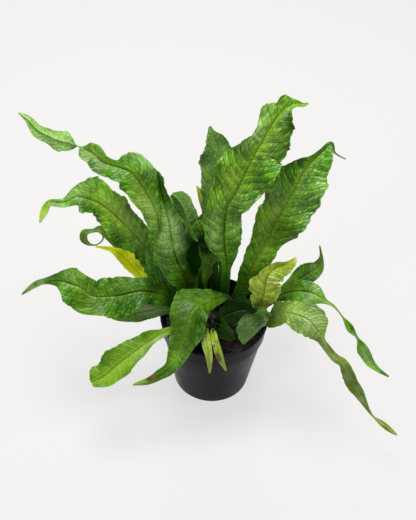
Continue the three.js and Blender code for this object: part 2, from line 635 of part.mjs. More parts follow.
// The faces of a frond's shell: both sides of the blade with like diagonals, the two edges, and the two ends.
function frondFaces(count) {
  const width = ACROSS.length;
  const ring = 2 * width;
  const index = [];
  for (let i = 0; i < count; i += 1) {
    const near = i * ring;
    const far = near + ring;
    for (let k = 0; k < width - 1; k += 1) {
      const a = k;
      const b = k + 1;
      index.push(near + a, near + b, far + b, near + a, far + b, far + a);
      const c = ring - 1 - k;
      const d = c - 1;
      index.push(near + d, near + c, far + d, near + c, far + c, far + d);
    }
    const edge = width - 1;
    index.push(near + edge, near + edge + 1, far + edge + 1, near + edge, far + edge + 1, far + edge);
    index.push(near + ring - 1, near, far, near + ring - 1, far, far + ring - 1);
  }
  const last = count * ring;
  for (let k = 0; k < width - 1; k += 1) {
    const c = ring - 1 - k;
    index.push(k, c, c - 1, k, c - 1, k + 1);
    index.push(last + k, last + c - 1, last + c, last + k, last + k + 1, last + c - 1);
  }
  return index;
}

// The plain hole that a stalk stands in, along the stalk's own line.
function stalkHole(frond) {
  const [foot, collar] = midribPoints(frond);
  const along = collar.clone().sub(foot).normalize();
  const length = 1.6 * STALK_COLLAR;
  const hole = new THREE.CylinderGeometry(HOLE_RADIUS, HOLE_RADIUS, length, HOLE_SIDES);
  hole.translate(0, length / 2 - 1, 0);
  hole.applyQuaternion(new THREE.Quaternion().setFromUnitVectors(new THREE.Vector3(0, 1, 0), along));
  hole.translate(foot.x, foot.y, foot.z);
  return solidOf(hole);
}

function named(name, geometry, material) {
  const mesh = new THREE.Mesh(geometry, material);
  mesh.name = name;
  return mesh;
}

const plant = new THREE.Group();
const holes = wasm.Manifold.union(FRONDS.map(stalkHole));
const rootstock = wasm.Manifold.union(ROOTSTOCK_RUNS.map((run) => rootstockRun(run, 0)));
const bed = wasm.Manifold.union(ROOTSTOCK_RUNS.map((run) => rootstockRun(run, CLEARANCE)));
const mix = mainBody(solidOf(mixGeometry()).subtract(bed).subtract(holes));

plant.add(named('pot', potGeometry(), plastic(POT_BLACK)));
plant.add(named('potting_mix', geometryOf(mix), earth(MIX_BROWN)));
plant.add(named('rootstock', geometryOf(mainBody(rootstock.subtract(holes))), earth(ROOTSTOCK_BROWN)));
FRONDS.forEach((frond, number) => {
  plant.add(named(frond.name, frondGeometry(frond, number), leaf(frond.tone)));
});

export default plant;
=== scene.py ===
import math
import bpy
import numpy as np
from mathutils import Matrix, Vector, noise


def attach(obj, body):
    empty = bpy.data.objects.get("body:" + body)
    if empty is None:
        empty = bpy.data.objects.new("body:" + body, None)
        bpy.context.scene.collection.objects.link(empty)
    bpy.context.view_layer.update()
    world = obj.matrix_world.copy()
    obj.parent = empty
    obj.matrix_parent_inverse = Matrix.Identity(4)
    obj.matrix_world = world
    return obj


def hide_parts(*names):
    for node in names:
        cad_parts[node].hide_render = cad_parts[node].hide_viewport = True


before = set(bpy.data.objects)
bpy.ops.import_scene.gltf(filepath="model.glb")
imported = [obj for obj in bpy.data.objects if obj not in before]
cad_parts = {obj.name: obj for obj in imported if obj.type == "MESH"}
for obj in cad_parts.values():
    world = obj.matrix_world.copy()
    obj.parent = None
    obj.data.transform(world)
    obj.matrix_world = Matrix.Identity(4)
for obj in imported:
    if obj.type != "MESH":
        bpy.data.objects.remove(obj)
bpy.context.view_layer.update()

# The room: a plain pale floor under soft studio light, seen from above the plant's front. The floor is only a
# stage for the object, and glows a little, as a light table does, so that shadows on it stay faint.
MM = 0.001
FLOOR_RADIUS = 7.0
FLOOR_SIDES = 120
FLOOR_COLOUR = (0.15, 0.149, 0.147, 1)
FLOOR_ROUGHNESS = 0.9
FLOOR_GLOW = 0.66
WARM_WHITE = (1, 0.99, 0.98, 1)
ROOM_LIGHT = 0.16
BACKDROP_GLOW = 0.722           # as bright as the lit floor, so that no edge shows between the two
CAMERA_TURN = 2.8
CAMERA_TILT = 44.2
CAMERA_AIM = (-9.9 * MM, 0, 186.4 * MM)
CAMERA_DISTANCE = 1100 * MM
FILM = 36
CAMERA_LENS = FILM * 1045.6 / 520
LAMP_AIM = Vector((0, 0, 0.15))
LAMPS = {                       # the place, the width and the power of each
    "lamp_above": ((-0.15, 0.30, 1.70), 0.9, 33),
    "lamp_front": ((-1.0, -1.2, 1.5), 0.8, 9),
    "lamp_right": ((1.5, -0.1, 1.2), 0.7, 9),
    "lamp_behind": ((-0.2, 1.7, 1.35), 1.0, 9),
}
UNMIRRORED_LAMPS = ("lamp_front", "lamp_right")     # they light the plant but leave no shine on it


def circle(radius, sides):
    """The corners of a round outline about the origin."""
    turns = [2 * math.pi * side / sides for side in range(sides)]
    return [(radius * math.cos(turn), radius * math.sin(turn)) for turn in turns]


def mesh_of(name, points, faces):
    """A mesh made of its points and faces."""
    mesh = bpy.data.meshes.new(name)
    mesh.from_pydata(points, [], faces)
    return mesh


def placed(name, data):
    """An object at the origin that shows a mesh, or holds a lamp or a camera."""
    made = bpy.data.objects.new(name, data)
    scene.collection.objects.link(made)
    return made


scene = bpy.context.scene
scene.view_settings.view_transform = "Standard"

# The backdrop is seen by the camera alone. Everything else is lit by the dimmer light of the room.
room = bpy.data.worlds.new("room")
room.use_nodes = True
nodes, links = room.node_tree.nodes, room.node_tree.links
nodes["Background"].inputs["Color"].default_value = (1, 1, 1, 1)
nodes["Background"].inputs["Strength"].default_value = ROOM_LIGHT
backdrop = nodes.new("ShaderNodeBackground")
backdrop.inputs["Color"].default_value = WARM_WHITE
backdrop.inputs["Strength"].default_value = BACKDROP_GLOW
seen_by = nodes.new("ShaderNodeLightPath")
either = nodes.new("ShaderNodeMixShader")
links.new(either.inputs["Fac"], seen_by.outputs["Is Camera Ray"])
links.new(either.inputs[1], nodes["Background"].outputs[0])
links.new(either.inputs[2], backdrop.outputs[0])
links.new(nodes["World Output"].inputs["Surface"], either.outputs[0])
scene.world = room

paint = bpy.data.materials.new("floor_paint")
paint.use_nodes = True
skin = paint.node_tree.nodes["Principled BSDF"]
skin.inputs["Base Color"].default_value = FLOOR_COLOUR
skin.inputs["Roughness"].default_value = FLOOR_ROUGHNESS
skin.inputs["Emission Color"].default_value = WARM_WHITE
skin.inputs["Emission Strength"].default_value = FLOOR_GLOW
floor_edge = [(x, y, 0) for x, y in circle(FLOOR_RADIUS, FLOOR_SIDES)]
floor = placed("floor", mesh_of("floor", floor_edge, [range(FLOOR_SIDES)]))
floor.data.materials.append(paint)

for name, (place, size, power) in LAMPS.items():
    lamp = bpy.data.lights.new(name, "AREA")
    lamp.shape, lamp.size, lamp.energy = "DISK", size, power
    hung = placed(name, lamp)
    hung.location = place
    hung.rotation_euler = (LAMP_AIM - Vector(place)).to_track_quat("-Z", "Y").to_euler()
    hung.visible_glossy = name not in UNMIRRORED_LAMPS

tilt, turn = math.radians(CAMERA_TILT), math.radians(CAMERA_TURN)
back = Vector((0, -math.cos(tilt), math.sin(tilt)))
level = Vector((1, 0, 0))
upward = back.cross(level)
right = level * math.cos(turn) + upward * math.sin(turn)
top = upward * math.cos(turn) - level * math.sin(turn)
lens = bpy.data.cameras.new("camera")
lens.sensor_width = lens.sensor_height = FILM
lens.sensor_fit = "VERTICAL"
lens.lens = CAMERA_LENS
camera = placed("camera", lens)
camera.matrix_world = Matrix.Translation(Vector(CAMERA_AIM) + back * CAMERA_DISTANCE) @ Matrix(
    (right, top, back)).transposed().to_4x4()
scene.camera = camera

# The pot: one thin wall of black polypropylene, moulded in one shot, with a stiff band and a lip round its
# mouth and a ring of drain holes in its flat floor. It stands on the floor and holds everything else.
POT_HEIGHT = 102 * MM
RIM_RADIUS = 60 * MM
BASE_RADIUS = 42 * MM
WALL = 1.6 * MM
POT_FLOOR = 2.4 * MM
BAND_HEIGHT = 21 * MM
BAND_STEP = 1.6 * MM
LIP_HEIGHT = 2.6 * MM
LIP_STEP = 0.8 * MM
BASE_ROUND = 3 * MM
CORNER_ROUND = 0.7 * MM
EDGE_BEVEL = 0.5 * MM
DRAIN_COUNT = 8
DRAIN_RADIUS = 4.5 * MM
DRAIN_CIRCLE = 31 * MM
DRAIN_SIDES = 24
POT_SIDES = 144
POT_BLACK = (0.0024, 0.0024, 0.0030, 1)
POT_WORN = (0.018, 0.018, 0.020, 1)
POT_DUST = (0.10, 0.095, 0.085, 1)
POT_GLOSS = 0.078
RUBBED_HEIGHT = 0.9 * MM        # of the lip, where hands and other pots have rubbed it
DUSTY_HEIGHT = 16 * MM          # above the floor, where dust and dried splashes cling

band_base = POT_HEIGHT - BAND_HEIGHT
lip_base = POT_HEIGHT - LIP_HEIGHT
band_radius = RIM_RADIUS - LIP_STEP


def body_radius(z):
    """The pot wall leans out in one straight line from the base to the band."""
    return BASE_RADIUS + (band_radius - 2 * BAND_STEP - BASE_RADIUS) * z / band_base


def rounded(outline, radius, steps=3):
    """An outline with each inner corner turned into a short curve."""
    soft = [outline[0]]
    for before, corner, after in zip(outline, outline[1:], outline[2:]):
        before, corner, after = Vector(before), Vector(corner), Vector(after)
        cut = min(radius, 0.45 * (before - corner).length, 0.45 * (after - corner).length)
        start = corner + (before - corner).normalized() * cut
        end = corner + (after - corner).normalized() * cut
        for step in range(steps + 1):
            t = step / steps
            soft.append(tuple(start * (1 - t) ** 2 + corner * 2 * t * (1 - t) + end * t * t))
    return soft + [outline[-1]]


def lathed(name, outline, sides, height=None):
    """A closed shape turned round the pot's axis, on which its outline starts and ends. Where it says None
    for a height, the height is worked out for each point of that ring."""
    points, faces = [(0, 0, outline[0][1])], []
    for radius, z in outline[1:-1]:
        points += [(x, y, height(x, y, radius) if z is None else z) for x, y in circle(radius, sides)]
    points.append((0, 0, outline[-1][1]))
    rings = len(outline) - 2
    for side in range(sides):
        after = (side + 1) % sides
        faces.append((0, 1 + after, 1 + side))
        for ring in range(rings - 1):
            low, high = 1 + ring * sides, 1 + (ring + 1) * sides
            faces.append((low + side, low + after, high + after, high + side))
        last = 1 + (rings - 1) * sides
        faces.append((last + side, last + after, len(points) - 1))
    return mesh_of(name, points, faces)


def tube_faces(first, rings, sides):
    """The faces of a tube with flat ends, whose rings of points follow each other from the first."""
    faces = []
    for ring in range(rings - 1):
        low, high = first + ring * sides, first + (ring + 1) * sides
        for side in range(sides):
            after = (side + 1) % sides
            faces.append((low + side, low + after, high + after, high + side))
    faces.append(tuple(first + side for side in reversed(range(sides))))
    faces.append(tuple(first + (rings - 1) * sides + side for side in range(sides)))
    return faces


def finished(piece, sharp):
    """Turns what the modifiers of a piece make into its plain mesh, smooth apart from its sharp edges."""
    bpy.context.view_layer.update()
    mesh = bpy.data.meshes.new_from_object(piece.evaluated_get(bpy.context.evaluated_depsgraph_get()))
    piece.modifiers.clear()
    piece.data = mesh
    mesh.polygons.foreach_set("use_smooth", [True] * len(mesh.polygons))
    mesh.set_sharp_from_angle(angle=math.radians(sharp))


step_radius = body_radius(band_base)
pot_outline = [
    (0, 0),
    (BASE_RADIUS - BASE_ROUND, 0),
    (BASE_RADIUS - 0.3 * BASE_ROUND, 0.3 * BASE_ROUND),
    (body_radius(BASE_ROUND), BASE_ROUND),
    (step_radius, band_base),
    (step_radius + BAND_STEP, band_base + EDGE_BEVEL),
    (band_radius, lip_base - EDGE_BEVEL),
    (RIM_RADIUS, lip_base),
    (RIM_RADIUS, POT_HEIGHT),
    (band_radius - WALL, POT_HEIGHT),
    (band_radius - WALL, lip_base - EDGE_BEVEL),
    (step_radius + BAND_STEP - WALL, band_base + EDGE_BEVEL + WALL),
    (step_radius - WALL, band_base + EDGE_BEVEL),
    (body_radius(POT_FLOOR) - WALL, POT_FLOOR),
    (0, POT_FLOOR),
]
pot = placed("pot_shell", lathed("pot_shell", rounded(pot_outline, CORNER_ROUND), POT_SIDES))
points, faces = [], []
for drain in range(DRAIN_COUNT):
    angle = (drain + 0.5) / DRAIN_COUNT * 2 * math.pi
    faces += tube_faces(len(points), 2, DRAIN_SIDES)
    for z in (-POT_FLOOR, 2 * POT_FLOOR):
        points += [(DRAIN_CIRCLE * math.cos(angle) + x, DRAIN_CIRCLE * math.sin(angle) + y, z)
                   for x, y in circle(DRAIN_RADIUS, DRAIN_SIDES)]
drills = placed("drains", mesh_of("drains", points, faces))
cut = pot.modifiers.new("drains", "BOOLEAN")
cut.operation, cut.solver, cut.object = "DIFFERENCE", "EXACT", drills
finished(pot, sharp=30)
bpy.data.objects.remove(drills)


def step_node(tree, kind, **settings):
    """One node of a tree, with its settings."""
    made = tree.nodes.new(kind)
    for name, value in settings.items():
        setattr(made, name, value)
    return made


class Reading:
    """A value that a node tree works out at each point of a surface, to be counted with as a number."""

    def __init__(self, tree, socket):
        self.tree, self.socket = tree, socket

    def __add__(self, other):
        return sum_up("ADD", self, other)

    def __radd__(self, other):
        return sum_up("ADD", other, self)

    def __sub__(self, other):
        return sum_up("SUBTRACT", self, other)

    def __rsub__(self, other):
        return sum_up("SUBTRACT", other, self)

    def __mul__(self, other):
        return sum_up("MULTIPLY", self, other)

    def __rmul__(self, other):
        return sum_up("MULTIPLY", other, self)

    def __truediv__(self, other):
        return sum_up("DIVIDE", self, other)


def feed(socket, value):
    """Links a reading to a socket, or sets the socket to a constant."""
    if isinstance(value, Reading):
        value.tree.links.new(value.socket, socket)
    else:
        socket.default_value = value


def tree_of(values):
    """The node tree that some values belong to. Numbers and colours belong to none."""
    return next(value.tree for value in values if isinstance(value, Reading))


def chain(tree, kind, inputs, out=0, **settings):
    """One node, fed by the names or numbers of its inputs, and a reading of one output."""
    made = step_node(tree, kind, **settings)
    for label, value in inputs.items():
        feed(made.inputs[label], value)
    return Reading(tree, made.outputs[out])


def sum_up(operation, *values):
    """A Math node on its values."""
    return chain(tree_of(values), "ShaderNodeMath", dict(enumerate(values)), operation=operation)


def vector_sum(operation, *values, out=0, **others):
    """A Vector Math node on its values."""
    inputs = {**dict(enumerate(values)), **others}
    return chain(tree_of(values), "ShaderNodeVectorMath", inputs, out, operation=operation)


def vector_of(tree, x, y, z):
    """A vector made of three values."""
    return chain(tree, "ShaderNodeCombineXYZ", {"X": x, "Y": y, "Z": z})


def parts_of(vector):
    """The three values of a vector."""
    made = step_node(vector.tree, "ShaderNodeSeparateXYZ")
    feed(made.inputs[0], vector)
    return [Reading(vector.tree, socket) for socket in made.outputs]


def ramp(value, low, high, to_low=0.0, to_high=1.0):
    """A smooth step of a value from one range to another."""
    inputs = dict(enumerate((value, low, high, to_low, to_high)))
    return chain(value.tree, "ShaderNodeMapRange", inputs, "Result", interpolation_type="SMOOTHSTEP")


def cloud(place, scale, detail=3.0, rough=0.55):
    """Soft noise of about 0 to 1 at a place."""
    return chain(place.tree, "ShaderNodeTexNoise", {
        "Vector": place, "Scale": scale, "Detail": detail, "Roughness": rough})


def mixed(factor, first, second):
    """One colour mixed into another. Inputs 6 and 7 and output 2 of a Mix node are its colours."""
    inputs = {"Factor": factor, 6: first, 7: second}
    return chain(tree_of(inputs.values()), "ShaderNodeMix", inputs, 2, data_type="RGBA")


def layered(colour, *layers):
    """A colour with others laid over it in turn. Each layer says how much of it shows, and its colour."""
    for amount, over in layers:
        colour = mixed(amount, colour, over)
    return colour


def attribute(tree, name, out="Fac"):
    """What a shader reads from a named attribute of the mesh."""
    return Reading(tree, step_node(tree, "ShaderNodeAttribute", attribute_name=name).outputs[out])


def new_group(name, kind, inputs, outputs):
    """A new node group. Gives the group and a reading of each of its inputs."""
    group = bpy.data.node_groups.new(name, kind)
    for labels, way in ((inputs, "INPUT"), (outputs, "OUTPUT")):
        for label, value in labels.items():
            group.interface.new_socket(name=label, in_out=way, socket_type="NodeSocket" + value)
    entry = group.nodes.new("NodeGroupInput")
    return group, {label: Reading(group, entry.outputs[label]) for label in inputs}


def give(group, **results):
    """Ends a group: links its results to its outputs."""
    end = group.nodes.new("NodeGroupOutput")
    for label, value in results.items():
        feed(end.inputs[label], value)


def use(tree, group, **values):
    """Places a group in a material and gives a reading of each of its outputs."""
    made = step_node(tree, "ShaderNodeGroup", node_tree=group)
    for label, value in values.items():
        feed(made.inputs[label], value)
    return {socket.name: Reading(tree, socket) for socket in made.outputs}


def new_material(name):
    """A material with its tree and its shader, and a reading of the place on the object."""
    material = bpy.data.materials.new(name)
    material.use_nodes = True
    tree = material.node_tree
    place = Reading(tree, step_node(tree, "ShaderNodeTexCoord").outputs["Object"])
    return material, tree, tree.nodes["Principled BSDF"], place


def bumped(height, strength, distance):
    """The normal of a surface with fine relief."""
    inputs = {"Strength": strength, "Distance": distance, "Height": height}
    return chain(height.tree, "ShaderNodeBump", inputs)


def coat(skin, colour, roughness, normal):
    """Feeds a material's shader."""
    feed(skin.inputs["Base Color"], colour)
    feed(skin.inputs["Roughness"], roughness)
    feed(skin.inputs["Normal"], normal)


# Scuffs: short pale scratches and rubbed patches, as on a pot that has been handled and stacked.
scuffs, at = new_group("scuffs", "ShaderNodeTree", {"Place": "Vector", "Amount": "Float"},
                       {"Mask": "Float", "Fine": "Float"})
stretched = vector_sum("MULTIPLY", at["Place"], (26.0, 26.0, 150.0))
streaks = cloud(stretched, 5.0, 4.0, 0.7)
patches = cloud(at["Place"], 34.0, 3.0)
give(scuffs, Mask=ramp(streaks * patches, 0.30, 0.46) * at["Amount"], Fine=cloud(at["Place"], 900.0, 2.0))

plastic, tree, skin, place = new_material("pot_plastic")
_, _, up = parts_of(place)
worn = use(tree, scuffs, Place=place, Amount=0.7)
rubbed = ramp(up, POT_HEIGHT - RUBBED_HEIGHT, POT_HEIGHT) * ramp(cloud(place, 60.0), 0.35, 0.6)
dusty = ramp(up, DUSTY_HEIGHT, 0.0) * ramp(cloud(place, 45.0, 5.0), 0.45, 0.75)
coat(skin, layered(POT_BLACK, (worn["Mask"], POT_WORN), (rubbed * 0.8, POT_WORN), (dusty * 0.30, POT_DUST)),
     ramp(cloud(place, 25.0), 0.3, 0.7, 0.30, 0.42) + 0.12 * worn["Mask"],
     bumped(0.5 * worn["Mask"] + worn["Fine"] * 0.4, 0.25, 0.15 * MM))
skin.inputs["Specular IOR Level"].default_value = POT_GLOSS
pot.data.materials.clear()
pot.data.materials.append(plastic)
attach(pot, "root")
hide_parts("pot")

# The potting mix: damp peat and bark crumbs, filled in loose up to below the pot's band and
# slightly higher in the middle. It holds the stalks. Its crumbs are scattered over its top.
MIX_LEVEL = 86 * MM
MIX_CROWN = 3 * MM              # how much higher it stands in the middle
MIX_ROUGHNESS = 1.2 * MM        # the height of its lumps
COARSE_GRIT = (3.2, 0.7)        # how wide and how high its lumps are, in millimetres
FINE_GRIT = (1.3, 0.35)
GRIT_MARGIN = 2 * MM            # the mix is smoother along the wall
CLEARANCE = 0.3 * MM            # between the mix and the pot
MIX_STEPS = 8
MIX_RINGS = 44
MIX_SIDES = 120
CRUMBS_PER_M2 = 210000.0
CRUMB_SMALL = (0.45 * MM, 0.35 * MM, 0.3 * MM)
CRUMB_LARGE = (1.7 * MM, 1.3 * MM, 0.9 * MM)
FULL_TURNS = (6.28, 6.28, 6.28)
UPWARD = 0.6                    # crumbs lie only where the mix looks up more than this
# These colours are partly the mix's own dark peat and bark, partly painted shade: they are made darker for
# the shade inside the pot.
MIX_DARK = (0.004, 0.003, 0.002, 1)
MIX_BROWN = (0.008, 0.005, 0.003, 1)
BARK_BROWN = (0.024, 0.013, 0.007, 1)


def mix_height(x, y):
    """How high the mix stands at a place: a low crown with lumps."""
    spread = min(1.0, math.hypot(x, y) / BASE_RADIUS)
    x, y = x / MM, y / MM
    lumps = math.sin(x * 0.31 + 1.3) * math.cos(y * 0.27 - 0.6) + 0.6 * math.sin(x * 0.17 - y * 0.43)
    return MIX_LEVEL + MIX_CROWN * (1 - spread * spread) + MIX_ROUGHNESS * lumps


def gritty_height(x, y, radius):
    """The height of the mix with the grit on it."""
    grit = noise.noise(Vector((x, y, 0)) / (COARSE_GRIT[0] * MM)) * COARSE_GRIT[1] * MM
    grit += noise.noise(Vector((x, y, 9 * MM)) / (FINE_GRIT[0] * MM)) * FINE_GRIT[1] * MM
    return mix_height(x, y) + grit * min(1, (mix_edge - radius) / GRIT_MARGIN)


def mix_side(z):
    """How wide the mix is at a height: just clear of the pot's wall."""
    return body_radius(z) - WALL - 2 * CLEARANCE


mix_foot = POT_FLOOR + CLEARANCE
mix_edge = mix_side(band_base)
mix_outline = [(0, mix_foot), (mix_side(mix_foot) * 0.5, mix_foot)]
for step in range(MIX_STEPS + 1):
    z = mix_foot + (band_base - mix_foot) * step / MIX_STEPS
    mix_outline.append((mix_side(z), z))
mix_outline += [(mix_edge * (1 - ring / MIX_RINGS), None) for ring in range(MIX_RINGS)]
mix_outline.append((0, mix_height(0, 0)))
mix = placed("mix_bed", lathed("mix", mix_outline, MIX_SIDES, gritty_height))


def geometry_tree(name, inputs):
    """A new Geometry Nodes tree with named inputs, which takes and gives a geometry."""
    return new_group(name, "GeometryNodeTree", {"Geometry": "Geometry", **inputs}, {"Geometry": "Geometry"})


def end_tree(tree, geometry, material):
    """Ends a Geometry Nodes tree: gives what it has made, in one material."""
    give(tree, Geometry=chain(tree, "GeometryNodeSetMaterial", {"Geometry": geometry, "Material": material}))


def grown(piece, tree, values):
    """Puts a Geometry Nodes tree on a piece, with its inputs set by their identifiers."""
    growth = piece.modifiers.new(tree.name, "NODES")
    growth.node_group = tree
    for item in tree.interface.items_tree:
        if item.in_out == "INPUT" and item.name in values:
            growth[item.identifier] = values[item.name]


def stored(geometry, name, value, kind="FLOAT", domain="POINT"):
    """A geometry that keeps a value under a name."""
    return chain(geometry.tree, "GeometryNodeStoreNamedAttribute",
                 {"Geometry": geometry, "Name": name, "Value": value}, data_type=kind, domain=domain)


def position(tree):
    """The place of each point."""
    return Reading(tree, step_node(tree, "GeometryNodeInputPosition").outputs[0])


def random_value(tree, low, high, seed, kind="FLOAT"):
    """A random number or direction for each point."""
    made = step_node(tree, "FunctionNodeRandomValue", data_type=kind)
    sockets = [socket for socket in made.inputs if socket.enabled and socket.name in ("Min", "Max")]
    sockets[0].default_value, sockets[1].default_value = low, high
    made.inputs["Seed"].default_value = seed
    return Reading(tree, next(socket for socket in made.outputs if socket.enabled))


def strewn(tree, at, seed):
    """A node that strews points at random over the geometry of a tree."""
    scatter = step_node(tree, "GeometryNodeDistributePointsOnFaces")
    feed(scatter.inputs["Mesh"], at["Geometry"])
    feed(scatter.inputs["Density"], at["Density"])
    scatter.inputs["Seed"].default_value = seed
    return scatter


def cover(tree, at, **pieces):
    """Ends a tree: sets small pieces at the points strewn over its geometry, and joins the two."""
    laid = chain(tree, "GeometryNodeInstanceOnPoints", pieces)
    both = step_node(tree, "GeometryNodeJoinGeometry")
    feed(both.inputs[0], at["Geometry"])
    feed(both.inputs[0], chain(tree, "GeometryNodeRealizeInstances", {"Geometry": laid}))
    end_tree(tree, Reading(tree, both.outputs[0]), at["Material"])


mix_earth, tree, skin, place = new_material("potting_mix")
clumps = cloud(place, 210.0, 5.0, 0.65)
bark = ramp(attribute(tree, "grain"), 0.55, 0.60)
coat(skin, layered(MIX_DARK, (ramp(clumps, 0.38, 0.66), MIX_BROWN), (bark * 0.8, BARK_BROWN)),
     ramp(clumps, 0.3, 0.7, 0.95, 0.72), bumped(cloud(place, 700.0, 4.0, 0.7), 0.7, 0.4 * MM))

# Crumbs: small dented balls of many sizes, strewn over the top of the mix.
crumble, at = geometry_tree("crumbs", {"Density": "Float", "Material": "Material"})
upright = parts_of(Reading(crumble, step_node(crumble, "GeometryNodeInputNormal").outputs[0]))[2]
scatter = strewn(crumble, at, seed=11)
feed(scatter.inputs["Selection"], sum_up("GREATER_THAN", upright, UPWARD))
where = position(crumble)
dent = vector_sum("SCALE", where, Scale=0.9 * (cloud(where, 1.4, 1.0) - 0.5))
ball = chain(crumble, "GeometryNodeMeshIcoSphere", {"Radius": 1.0, "Subdivisions": 2})
cover(crumble, at,
      Points=stored(Reading(crumble, scatter.outputs["Points"]), "grain", random_value(crumble, 0.0, 1.0, 3)),
      Instance=chain(crumble, "GeometryNodeSetPosition", {"Geometry": ball, "Offset": dent}),
      Rotation=random_value(crumble, (0, 0, 0), FULL_TURNS, 5, "FLOAT_VECTOR"),
      Scale=random_value(crumble, CRUMB_SMALL, CRUMB_LARGE, 7, "FLOAT_VECTOR"))
grown(mix, crumble, {"Density": CRUMBS_PER_M2, "Material": mix_earth})
finished(mix, sharp=60)
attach(mix, "root")
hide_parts("potting_mix")

# The rootstock: the fern's creeping stem, woody and forked, half sunk in the mix and covered with thin brown
# scales that point towards its growing ends. Every stalk grows from it.
ROOTSTOCK_RUNS = [              # where it lies on the mix, in millimetres
    [(-37, 11), (-20, 9), (-4, 7), (12, 4), (30, -4)],
    [(-8, 8), (-5, 20), (2, 33), (14, 33), (24, 29)],
    [(0, 6), (2, -8), (5, -21), (-2, -30)],
]
ROOTSTOCK_RADIUS = 5 * MM
ROOTSTOCK_RISE = 0.5 * MM       # of its middle line above the mix
ROOTSTOCK_RINGS = 40
ROOTSTOCK_SIDES = 24
BARE_SHARE = 0.96               # of the radius is left to the stem below its scales
KNOB, SMALL_KNOB = 0.1, 0.06    # how much thicker and thinner its knobs make it
FUSE_VOXEL = 1.0 * MM
SCALES_PER_M2 = 200000.0
SCALE_LENGTH = 3.2 * MM
# These browns are partly the stem's own, partly painted shade: they are made darker for the shade inside the
# pot.
ROOTSTOCK_DARK = (0.012, 0.007, 0.004, 1)
ROOTSTOCK_BROWN = (0.030, 0.017, 0.009, 1)
SCALE_BROWN = (0.060, 0.032, 0.014, 1)


def smooth_curve(points, shares):
    """Places on the smooth curve through some points, for shares of the way from the first point to the last.
    Each stretch bends with the points on both of its sides."""
    points = np.array(points, float)
    points = np.vstack([2 * points[0] - points[1], points, 2 * points[-1] - points[-2]])
    stretches = len(points) - 3
    whole = np.clip(np.floor(shares * stretches), 0, stretches - 1).astype(int)
    t = (shares * stretches - whole)[:, None]
    p0, p1, p2, p3 = (points[whole + step] for step in range(4))
    v1, v2 = (p2 - p0) / 2, (p3 - p1) / 2
    return (2 * p1 - 2 * p2 + v1 + v2) * t ** 3 + (3 * p2 - 3 * p1 - 2 * v1 - v2) * t ** 2 + v1 * t + p1


def even_steps(points, count):
    """The shares of a smooth curve that cut it into stretches of one length, and its whole length."""
    fine = np.linspace(0, 1, 2401)
    line = smooth_curve(points, fine)
    run = np.concatenate([[0], np.cumsum(np.linalg.norm(np.diff(line, axis=0), axis=1))])
    return np.interp(np.linspace(0, run[-1], count), run, fine), run[-1]


points, faces = [], []
for run in ROOTSTOCK_RUNS:
    line = [(x * MM, y * MM, mix_height(x * MM, y * MM) + ROOTSTOCK_RISE) for x, y in run]
    centres = smooth_curve(line, even_steps(line, ROOTSTOCK_RINGS)[0])
    along = np.gradient(centres, axis=0)
    along /= np.linalg.norm(along, axis=1)[:, None]
    faces += tube_faces(len(points), ROOTSTOCK_RINGS, ROOTSTOCK_SIDES)
    for ring, (centre, way) in enumerate(zip(centres, along)):
        across = Vector((-way[1], way[0], 0)).normalized()
        rise = Vector(way).cross(across)
        narrow = math.sqrt(max(0.02, 1 - abs(2 * ring / (ROOTSTOCK_RINGS - 1) - 1) ** 8))
        for side in range(ROOTSTOCK_SIDES):
            angle = 2 * math.pi * side / ROOTSTOCK_SIDES
            knob = 1 + KNOB * math.sin(0.42 * ring + 1.9 * angle)
            knob += SMALL_KNOB * math.sin(1.3 * ring - 2.2 * angle)
            radius = ROOTSTOCK_RADIUS * narrow * knob * BARE_SHARE
            place = Vector(centre) + across * radius * math.cos(angle)
            points.append(place + rise * radius * math.sin(angle))
stem = placed("rootstock_stem", mesh_of("rootstock", points, faces))
fuse = stem.modifiers.new("fuse", "REMESH")
fuse.mode, fuse.voxel_size = "VOXEL", FUSE_VOXEL

wood, tree, skin, place = new_material("rootstock")
fleck = cloud(place, 420.0, 4.0, 0.7)
scale = ramp(attribute(tree, "scale"), 0.1, 1.0)
coat(skin, layered(ROOTSTOCK_DARK, (ramp(fleck, 0.35, 0.65), ROOTSTOCK_BROWN), (scale * 0.9, SCALE_BROWN)),
     ramp(fleck, 0.3, 0.7, 0.85, 0.60), bumped(fleck, 0.6, 0.4 * MM))

# Scales: flat cones of five sides that lean this way and that from the stem.
scaly, at = geometry_tree("scales", {"Density": "Float", "Length": "Float", "Material": "Material"})
scatter = strewn(scaly, at, seed=5)
normal = Reading(scaly, scatter.outputs["Normal"])
lean = vector_sum("ADD", normal, random_value(scaly, (-1.2, -1.2, -0.5), (1.2, 1.2, 0.9), 4, "FLOAT_VECTOR"))
slender = random_value(scaly, (0.7, 0.35, 0.6), (1.0, 0.5, 1.3), 8, "FLOAT_VECTOR")
cover(scaly, at,
      Points=stored(Reading(scaly, scatter.outputs["Points"]), "scale", random_value(scaly, 0.3, 1.0, 6)),
      Instance=chain(scaly, "GeometryNodeMeshCone", {
          "Vertices": 5, "Side Segments": 2, "Radius Top": 0.02, "Radius Bottom": 0.22, "Depth": 1.0}),
      Rotation=chain(scaly, "FunctionNodeAlignRotationToVector", {"Vector": lean}, axis="Z"),
      Scale=vector_sum("SCALE", slender, Scale=at["Length"]))
grown(stem, scaly, {"Density": SCALES_PER_M2, "Length": SCALE_LENGTH, "Material": wood})
finished(stem, sharp=60)
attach(stem, "root")
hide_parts("rootstock")
